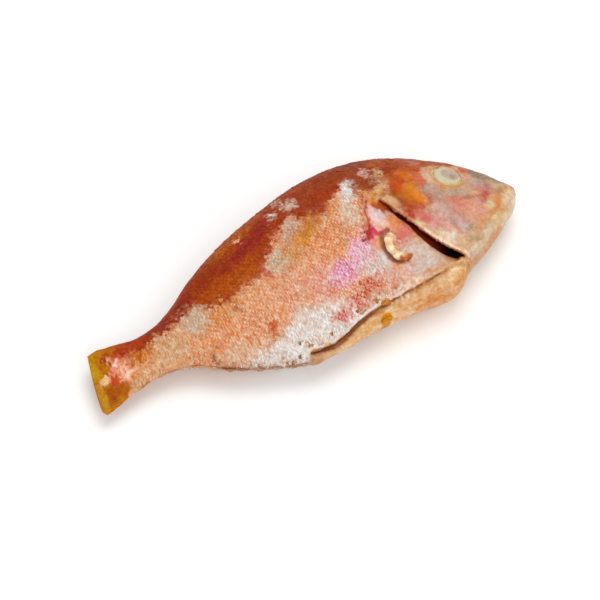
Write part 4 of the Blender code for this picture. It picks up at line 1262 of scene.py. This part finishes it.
def eye_globe(name, side, material):
    """The eyeball as it shows: a low dome for the cornea inside a rounded golden ring."""
    centre, fore, up, out = eye_frame(side)
    around, rings = 96, 34
    points, flat = [], []
    for i in range(rings + 1):
        share = i / rings
        far = EYE.radius * math.sin(share * math.pi / 2) if share < 1 else EYE.radius
        mm = far / MM
        dome = 0.0014 * max(0.0, 1 - (mm / 8.4) ** 2)
        ring = 0.0004 * math.exp(-(((mm - 9.8) / 1.0) ** 2)) - 0.0002 * math.exp(-(((mm - 8.3) / 0.5) ** 2))
        drop_off = -0.0034 * float(ramp(mm, 10.4, 11.2))
        rise = EYE.proud - 0.0014 + dome + ring + drop_off
        for k in range(around):
            angle = 2 * math.pi * k / around
            dx, dy = far * math.cos(angle), far * math.sin(angle)
            points.append(centre + fore * dx + up * dy + out * rise)
            flat.append((dx / MM, dy / MM))
    faces = []
    for i in range(rings):
        for k in range(around):
            after = (k + 1) % around
            faces.append((i * around + k, i * around + after, (i + 1) * around + after, (i + 1) * around + k))
    base = len(points)
    for k in range(around):
        angle = 2 * math.pi * k / around
        points.append(centre + fore * EYE.radius * 0.8 * math.cos(angle) + up * EYE.radius * 0.8 * math.sin(angle) - out * 0.0055)
        flat.append((8 * math.cos(angle), 8 * math.sin(angle)))
        after = (k + 1) % around
        faces.append((rings * around + k, rings * around + after, base + after, base + k))
    faces.append(tuple(base + k for k in range(around)))
    mesh = bpy.data.meshes.new(name)
    mesh.from_pydata([tuple(p) for p in points], [], faces)
    layer = mesh.uv_layers.new(name="eye")
    for loop in mesh.loops:
        layer.data[loop.index].uv = flat[loop.vertex_index]
    work = bmesh.new()
    work.from_mesh(mesh)
    bmesh.ops.remove_doubles(work, verts=work.verts, dist=1e-7)
    bmesh.ops.recalc_face_normals(work, faces=work.faces)
    work.to_mesh(mesh)
    work.free()
    lay_down(mesh)
    mesh.shade_smooth()
    mesh.materials.append(material)
    return new_object(name, mesh)


# ---------------------------------------------------------------------------------------------------
# Fin stubs
# ---------------------------------------------------------------------------------------------------


def stub(name, size, foot, material, ray_count, colours, detail=(120, 26)):
    """A fin cut back to a lobe on the skin, ribbed by its rays, dished inside a thick uneven rim."""
    out = flank_normal(foot.x, foot.y, 1)
    rear = (Vector((-1.0, 0.0, 0.0)) + out * out.x).normalized()
    up = out.cross(rear).normalized()
    lift = math.radians(size.lift)
    long_axis = rear * math.cos(lift) + out * math.sin(lift)
    axes = np.array([long_axis, up, long_axis.cross(up)])
    around, steps = detail
    turn = 2 * np.pi * np.arange(around) / around
    far = 1 - (1 - np.arange(1, steps) / steps) ** 1.8
    a, b = np.cos(turn)[None] * far[:, None], np.sin(turn)[None] * far[:, None]
    power = 5 if size.dish else 2
    full = np.sqrt(np.maximum(1 - far**power, 0.0))[:, None] + 0 * a
    rays = 0.5 + 0.5 * np.cos(np.arctan2(b, a + 1.25) * ray_count * 2.4)
    fan = ramp(a, -0.7, 0.3)
    ragged = 1 + 0.045 * fan * cloud(np.stack([turn * 5.0, turn * 0.0], 1), 1.0, 31)[None] * far[:, None] ** 2
    inner = ramp(far, 0.28, 0.64)[:, None] if size.dish else 1.0
    top = full * (1 - size.dish * (1 - inner)) * (1 + 0.10 * fan * (rays - 0.5))
    top = top + 0.06 * cloud(np.stack([a * 3.5, b * 3.5], -1), 1.0, 32) * full
    if size.dish:
        top = top * ramp(a + 0.7 * ramp(b, 0.3, 0.8), -0.20, 0.40)
    sheets = []
    for height in (top, -full * (1 + 0.05 * (rays - 0.5))):
        spots = np.stack([a * ragged * size.reach, b * ragged * size.height, height * size.thickness / 2], -1)
        sheets.append(spots.reshape(-1, 3) @ axes)
    rim = np.stack([a[-1] * ragged[-1] / far[-1], b[-1] * ragged[-1] / far[-1], 0 * turn], -1)
    rim = rim * [size.reach, size.height, 0.0] @ axes
    middles = np.array([[0.0, 0.0, (1 - size.dish) * size.thickness / 2], [0.0, 0.0, -size.thickness / 2]]) @ axes
    points = np.concatenate([*sheets, rim, middles]) + np.array(foot + out * 0.0006)
    each, faces = around * (steps - 1), []
    for sheet in (0, 1):
        for k in range(around):
            after = (k + 1) % around
            faces.append((2 * each + around + sheet, sheet * each + k, sheet * each + after))
            for i in range(steps - 2):
                start = sheet * each + i * around
                faces.append((start + k, start + after, start + around + after, start + around + k))
            last = sheet * each + (steps - 2) * around
            faces.append((last + k, last + after, 2 * each + after, 2 * each + k))
    mesh = mesh_from(name, points, faces)
    upright = coordinates(mesh)
    u = (upright - np.array(foot + out * 0.0006)) @ axes.T
    a, b = u[:, 0] / size.reach, u[:, 1] / size.height
    colours(mesh, upright, a, b, np.hypot(a, b), u[:, 2] / size.thickness)
    set_layer(mesh, "ray", "FLOAT", 0.5 + 0.5 * np.cos(np.arctan2(b, a + 1.25) * ray_count * 2.4))
    lay_down(mesh)
    mesh.shade_smooth()
    mesh.materials.append(material)
    return new_object(name, mesh)


def pectoral_colours(mesh, upright, a, b, far, height):
    """The shoulder's skin inside, a thick cream rim, tawny at its upper end and golden at its lower one, with painted
    shade on the underside of the rim.
    """
    spots = 0.10 * cloud(np.stack([a, b], 1), 0.22, 33)
    layers = skin_colours(upright)
    rim = ramp(far + spots, 0.34, 0.52) * ramp(a, -0.35, 0.05)
    wash(layers, rim, paint(244, 218, 184), paint(230, 184, 134), 0.7)
    wash(layers, ramp(b + spots, 0.55, 0.80) * ramp(a, 0.95, 0.5), paint(188, 104, 50), paint(160, 72, 30), 0.7)
    wash(layers, ramp(b + spots, -0.78, -0.94) * ramp(a, 0.6, 0.2), paint(212, 172, 124), paint(196, 148, 100), 0.6)
    # painted shade on the stub's underside near its rim
    wash(layers, ramp(height, 0.10, -0.20) * ramp(far, 0.75, 0.95) * 0.8, paint(150, 92, 56), BARK, 0.6)
    write_colours(mesh, layers)


def one_colour(tint, fleck):
    def colours(mesh, upright, a, b, far, height):
        layers = [np.tile(tint, (len(a), 1)), np.tile(fleck, (len(a), 1)), np.full(len(a), 0.7)]
        wash(layers, ramp(far, 0.8, 0.2) * 0.4, paint(226, 180, 112), tint, 0.6)
        write_colours(mesh, layers)

    return colours


def pressed_stub(material):
    """The left pectoral stub, folded flat between the flank and the table."""
    low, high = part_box("left_pectoral_fin")
    middle, half = (low + high) / 2, (high - low) / 2
    mesh = ball("left_pectoral_stub", Vector((middle.x, middle.y, half.z)), (Vector((1, 0, 0)), Vector((0, 1, 0)), Vector((0, 0, 1))), (half.x, half.y, half.z), (64, 24))
    points = coordinates(mesh)
    points[:, 2] = np.maximum(points[:, 2], 0.00002)
    rays = 0.5 + 0.5 * np.cos(np.arctan2(points[:, 1] - middle.y, points[:, 0] - low.x + 0.004) * 30)
    points[:, 2] += 0.0003 * rays * ramp(points[:, 2], 0.0006, 0.0016)
    move_vertices(mesh, points)
    one_colour(paint(212, 150, 124), paint(204, 120, 84))(mesh, points, *points.T, points[:, 2])
    set_layer(mesh, "ray", "FLOAT", rays)
    mesh.shade_smooth()
    mesh.materials.append(material)
    return new_object("left_pectoral_stub", mesh)


def tail_stub():
    """The cut tail fin: a thinning web, ribbed by forking rays, with an uneven cut edge."""
    steps, around = 60, 260
    rings, rays_at = [], []
    for share in np.linspace(-0.34, 1.0, steps):
        inside = max(share, 0.0)
        top, bottom = float(line_at(TAIL_TOP, inside)), float(line_at(TAIL_BOTTOM, inside))
        thickness = float(line_at(TAIL_THICKNESS, inside)) + 0.0002
        if share < 0:
            x = TAIL_END - share * 0.0150
            top, bottom, _, thickness, _, _ = (float(v) for v in section_at(x))
            sunk = 0.0012 * share / 0.34 + 0.0002
            top, bottom, thickness = top + sunk, bottom - sunk, thickness + sunk
        for k in range(around):
            angle = 2 * math.pi * k / around
            height = (1 + math.sin(angle)) / 2
            fan = (height - 0.5) * (24 + 10 * max(0.0, share - 0.25))
            ray = 0.5 + 0.5 * math.cos(2 * math.pi * fan)
            cut = TAIL_CUT_LOWER + (TAIL_CUT_UPPER - TAIL_CUT_LOWER) * height
            cut += 0.0026 * max(0.0, 1 - height / 0.12) ** 2 - 0.0008 * math.sin(height * math.pi)
            cut += 0.0003 * ray * inside
            x = TAIL_END + share * (cut - TAIL_END) if share > 0 else TAIL_END - share * 0.0150
            blunt = 1.0 - 0.4 * float(ramp(share, -0.1, 0.5))
            flank = math.copysign(abs(math.cos(angle)) ** blunt, math.cos(angle))
            ridge = 0.00026 * (ray - 0.5) * float(ramp(share, 0.0, 0.35)) * abs(flank)
            rings.append((x, bottom + (top - bottom) * height, (thickness + ridge) * flank))
            rays_at.append(1 + (ray - 1) * float(ramp(share, 0.25, 0.6)))
    faces = []
    for i in range(steps - 1):
        for k in range(around):
            after = (k + 1) % around
            faces.append((i * around + k, i * around + after, (i + 1) * around + after, (i + 1) * around + k))
    faces.append(tuple(range(around)))
    faces.append(tuple((steps - 1) * around + k for k in range(around)))
    mesh = bpy.data.meshes.new("tail_stub")
    mesh.from_pydata(rings, [], faces)
    set_layer(mesh, "ray", "FLOAT", rays_at)
    work = bmesh.new()
    work.from_mesh(mesh)
    bmesh.ops.triangulate(work, faces=[f for f in work.faces if len(f.verts) > 4])
    bmesh.ops.recalc_face_normals(work, faces=work.faces)
    work.to_mesh(mesh)
    work.free()
    points = coordinates(mesh)
    points[:, 2] += 0.00022 * cloud(points, 0.0022, 35) * np.sign(points[:, 2]) * ramp(np.abs(points[:, 2]), 0.0004, 0.0012)
    move_vertices(mesh, points)
    colour_mesh(mesh, points)
    lay_down(mesh)
    mesh.shade_smooth()
    mesh.set_sharp_from_angle(angle=math.radians(50))
    mesh.materials.append(skin_material("tail_web", "ray"))
    return new_object("tail_stub", mesh)


def ray_stump():
    """The stump of one fin ray, a millimetre wide and tall: +Z out of the body, cut off square."""
    work = bmesh.new()
    bmesh.ops.create_cone(work, cap_ends=True, segments=9, radius1=0.60, radius2=0.42, depth=2.0)
    for v in work.verts:
        v.co.z -= 0.2 + (0.25 * v.co.x if v.co.z > 0.5 else 0.0)
    mesh = bpy.data.meshes.new("stump")
    work.to_mesh(mesh)
    work.free()
    mesh.shade_smooth()
    mesh.set_sharp_from_angle(angle=math.radians(50))
    return mesh


def stump_material():
    s = Shader("cut_ray", coat=0.1, subsurface=0.1)
    grain = s.noise(0.0008, detail=3.0)
    colour = s.mix(s.ramp(grain, 0.35, 0.65), paint(196, 132, 86), paint(150, 76, 40))
    return s.finish(colour, s.ramp(grain, 0.3, 0.7, 0.40, 0.60), grain, 0.3, 0.0002)


def stump_tree(material):
    """Sets one stump on each root, leaning back, each of its own height."""
    inputs = [
        ("Stump", "NodeSocketObject", None),
        ("Lean", "NodeSocketFloat", math.radians(-24.0)),
        ("Unevenness", "NodeSocketFloat", 0.30),
        ("Seed", "NodeSocketInt", 9),
    ]
    g = GeometryTree("trimmed_rays", inputs)
    stump = g.node("GeometryNodeObjectInfo", [("Object", g.start.outputs["Stump"]), ("As Instance", True)])
    axes = g.node(
        "FunctionNodeAxesToRotation",
        [("Primary Axis", g.named("outward", "FLOAT_VECTOR")), ("Secondary Axis", (-1.0, 0.0, 0.0))],
        primary_axis="Z",
        secondary_axis="X",
    )
    angles = g.node("ShaderNodeCombineXYZ", [("Y", g.start.outputs["Lean"])])
    lean = g.node("FunctionNodeEulerToRotation", [(0, angles.outputs[0])])
    turned = g.node(
        "FunctionNodeRotateRotation",
        [("Rotation", axes.outputs[0]), ("Rotate By", lean.outputs[0])],
        rotation_space="LOCAL",
    )
    luck = g.node("FunctionNodeRandomValue", [("Seed", g.start.outputs["Seed"])], data_type="FLOAT")
    low = g.node("ShaderNodeMath", [(0, 1.0), (1, g.start.outputs["Unevenness"])], operation="SUBTRACT")
    high = g.node("ShaderNodeMath", [(0, 1.0), (1, g.start.outputs["Unevenness"])], operation="ADD")
    g.tree.links.new(low.outputs[0], luck.inputs[2])
    g.tree.links.new(high.outputs[0], luck.inputs[3])
    size = g.node("ShaderNodeVectorMath", [(0, g.named("size", "FLOAT_VECTOR"))], operation="SCALE")
    g.tree.links.new(luck.outputs[1], size.inputs["Scale"])
    placed = g.node(
        "GeometryNodeInstanceOnPoints",
        [
            ("Points", g.start.outputs["Geometry"]),
            ("Instance", stump.outputs["Geometry"]),
            ("Rotation", turned.outputs[0]),
            ("Scale", size.outputs[0]),
        ],
    )
    g.finish(placed.outputs["Instances"], material)
    return g


def trimmed_rays(name, start, end, count, line, outward_sign, tree, plate):
    """A row of cut rays along the midline of the back or belly."""
    xs = np.linspace(start, end, count)
    ys = line_at(line, xs)
    slope = (line_at(line, xs + 0.001) - line_at(line, xs - 0.001)) / 0.002
    outward = np.stack([-slope, np.ones(count), np.zeros(count)], 1) * outward_sign
    outward /= np.linalg.norm(outward, axis=1)[:, None]
    size = np.stack([np.full(count, 0.00075), np.full(count, 0.00100), np.full(count, 0.00062)], 1)
    points = np.stack([xs, ys, 0.0002 * cloud(np.stack([xs, ys], 1), 0.002, 41)], 1) - outward * 0.0004
    layers = [("outward", "FLOAT_VECTOR", outward), ("size", "FLOAT_VECTOR", size)]
    piece = tree.run(name, points, layers, {"Stump": plate})
    lay_down(piece.data)
    return piece


# ---------------------------------------------------------------------------------------------------
# Table, light and camera
# ---------------------------------------------------------------------------------------------------

CAMERA_AZIMUTH, CAMERA_ELEVATION, CAMERA_DISTANCE, CAMERA_LENS = -29.0, 55.0, 0.979, 100.0
AIM_SHIFT = (-0.0029, -0.0153)


def table():
    mesh = bpy.data.meshes.new("table")
    mesh.from_pydata([(-3, -3, -0.0003), (3, -3, -0.0003), (3, 3, -0.0003), (-3, 3, -0.0003)], [], [(0, 1, 2, 3)])
    s = Shader("white_table", roughness=0.7)
    shade = s.noise(0.4, detail=2.0)
    mesh.materials.append(s.finish(s.mix(shade, (0.95, 0.95, 0.945), (0.97, 0.97, 0.965))))
    floor = new_object("table", mesh)


def lamp(name, place, size, power, colour, target):
    light = bpy.data.lights.new(name, "AREA")
    light.shape, light.size, light.energy, light.color = "DISK", size, power, colour
    thing = bpy.data.objects.new(name, light)
    bpy.context.scene.collection.objects.link(thing)
    thing.location = place
    thing.rotation_euler = (Vector(target) - Vector(place)).to_track_quat("-Z", "Y").to_euler()


def studio():
    middle = (Vector(CAD_BOX[0]) + Vector(CAD_BOX[1])) / 2
    lamp("key", middle + Vector((0.30, 0.30, 1.00)), 0.9, 5.0, (1.0, 0.99, 0.97), middle)
    lamp("front_fill", middle + Vector((-0.10, -1.10, 0.80)), 1.2, 5.5, (1.0, 0.99, 0.98), middle)
    world = bpy.data.worlds.new("studio")
    world.use_nodes = True
    world.node_tree.nodes["Background"].inputs["Color"].default_value = (1.0, 1.0, 1.0, 1.0)
    world.node_tree.nodes["Background"].inputs["Strength"].default_value = 0.72
    bpy.context.scene.world = world
    bpy.context.scene.view_settings.view_transform = "Standard"


def camera():
    azimuth, elevation = math.radians(CAMERA_AZIMUTH), math.radians(CAMERA_ELEVATION)
    back = Vector((math.sin(azimuth) * math.cos(elevation), -math.cos(azimuth) * math.cos(elevation), math.sin(elevation)))
    right = Vector((math.cos(azimuth), math.sin(azimuth), 0.0))
    up = back.cross(right)
    middle = (Vector(CAD_BOX[0]) + Vector(CAD_BOX[1])) / 2
    aim = Vector((middle.x, middle.y, 0.018)) + right * AIM_SHIFT[0] + up * AIM_SHIFT[1]
    lens = bpy.data.cameras.new("camera")
    lens.lens, lens.sensor_width, lens.clip_start, lens.clip_end = CAMERA_LENS, 36.0, 0.01, 20.0
    thing = bpy.data.objects.new("camera", lens)
    bpy.context.scene.collection.objects.link(thing)
    thing.location = aim + back * CAMERA_DISTANCE
    thing.rotation_euler = (-back).to_track_quat("-Z", "Y").to_euler()
    bpy.context.scene.camera = thing


# ---------------------------------------------------------------------------------------------------
# The fish
# ---------------------------------------------------------------------------------------------------


def place_piece(piece, slot, *nodes):
    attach(piece, "root")
    if nodes:
        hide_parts(*nodes)


def build_fish():
    place_piece(skin(), "skin", "body")
    plate, rows = new_object("plate", scale_plate(), hidden=True), plate_rows_tree(scale_material())
    place_piece(scales("right_scales", 1, plate, rows), "skin")
    place_piece(scales("left_scales", -1, plate, rows), "skin")
    drop(plate)
    clouded = eye_material()
    place_piece(eye_globe("right_eye_globe", 1, clouded), "eye", "right_eye")
    place_piece(eye_globe("left_eye_globe", -1, clouded), "eye", "left_eye")
    flesh = skin_material("fin_flesh", "ray")
    on_flank = flank_point(PECTORAL.x, PECTORAL.y, 1)
    on_upper_flap = flank_point(RIGHT_PELVIC.x, RIGHT_PELVIC.y, 1)
    on_lower_flap = flank_point(LEFT_PELVIC.x, LEFT_PELVIC.y, 1)
    tawny, golden = one_colour(paint(204, 122, 44), BRONZE), one_colour(paint(206, 144, 16), OCHRE)
    place_piece(stub("right_pectoral_stub", PECTORAL, on_flank, flesh, 9, pectoral_colours), "fin_base", "right_pectoral_fin")
    place_piece(pressed_stub(flesh), "fin_base", "left_pectoral_fin")
    place_piece(stub("right_pelvic_stub", RIGHT_PELVIC, on_upper_flap, flesh, 4, tawny, (56, 14)), "fin_base", "right_pelvic_fin")
    place_piece(stub("left_pelvic_stub", LEFT_PELVIC, on_lower_flap, flesh, 4, golden, (56, 14)), "fin_base", "left_pelvic_fin")
    place_piece(tail_stub(), "tail_web", "tail_fin")
    stump = new_object("stump", ray_stump(), hidden=True)
    rays = stump_tree(stump_material())
    place_piece(trimmed_rays("dorsal_rays", 0.046, -0.084, 34, BACK_LINE, 1, rays, stump), "fin_base")
    place_piece(trimmed_rays("anal_rays", -0.034, -0.074, 14, BELLY_LINE, -1, rays, stump), "fin_base")
    drop(stump)


table()
studio()
camera()
build_fish()
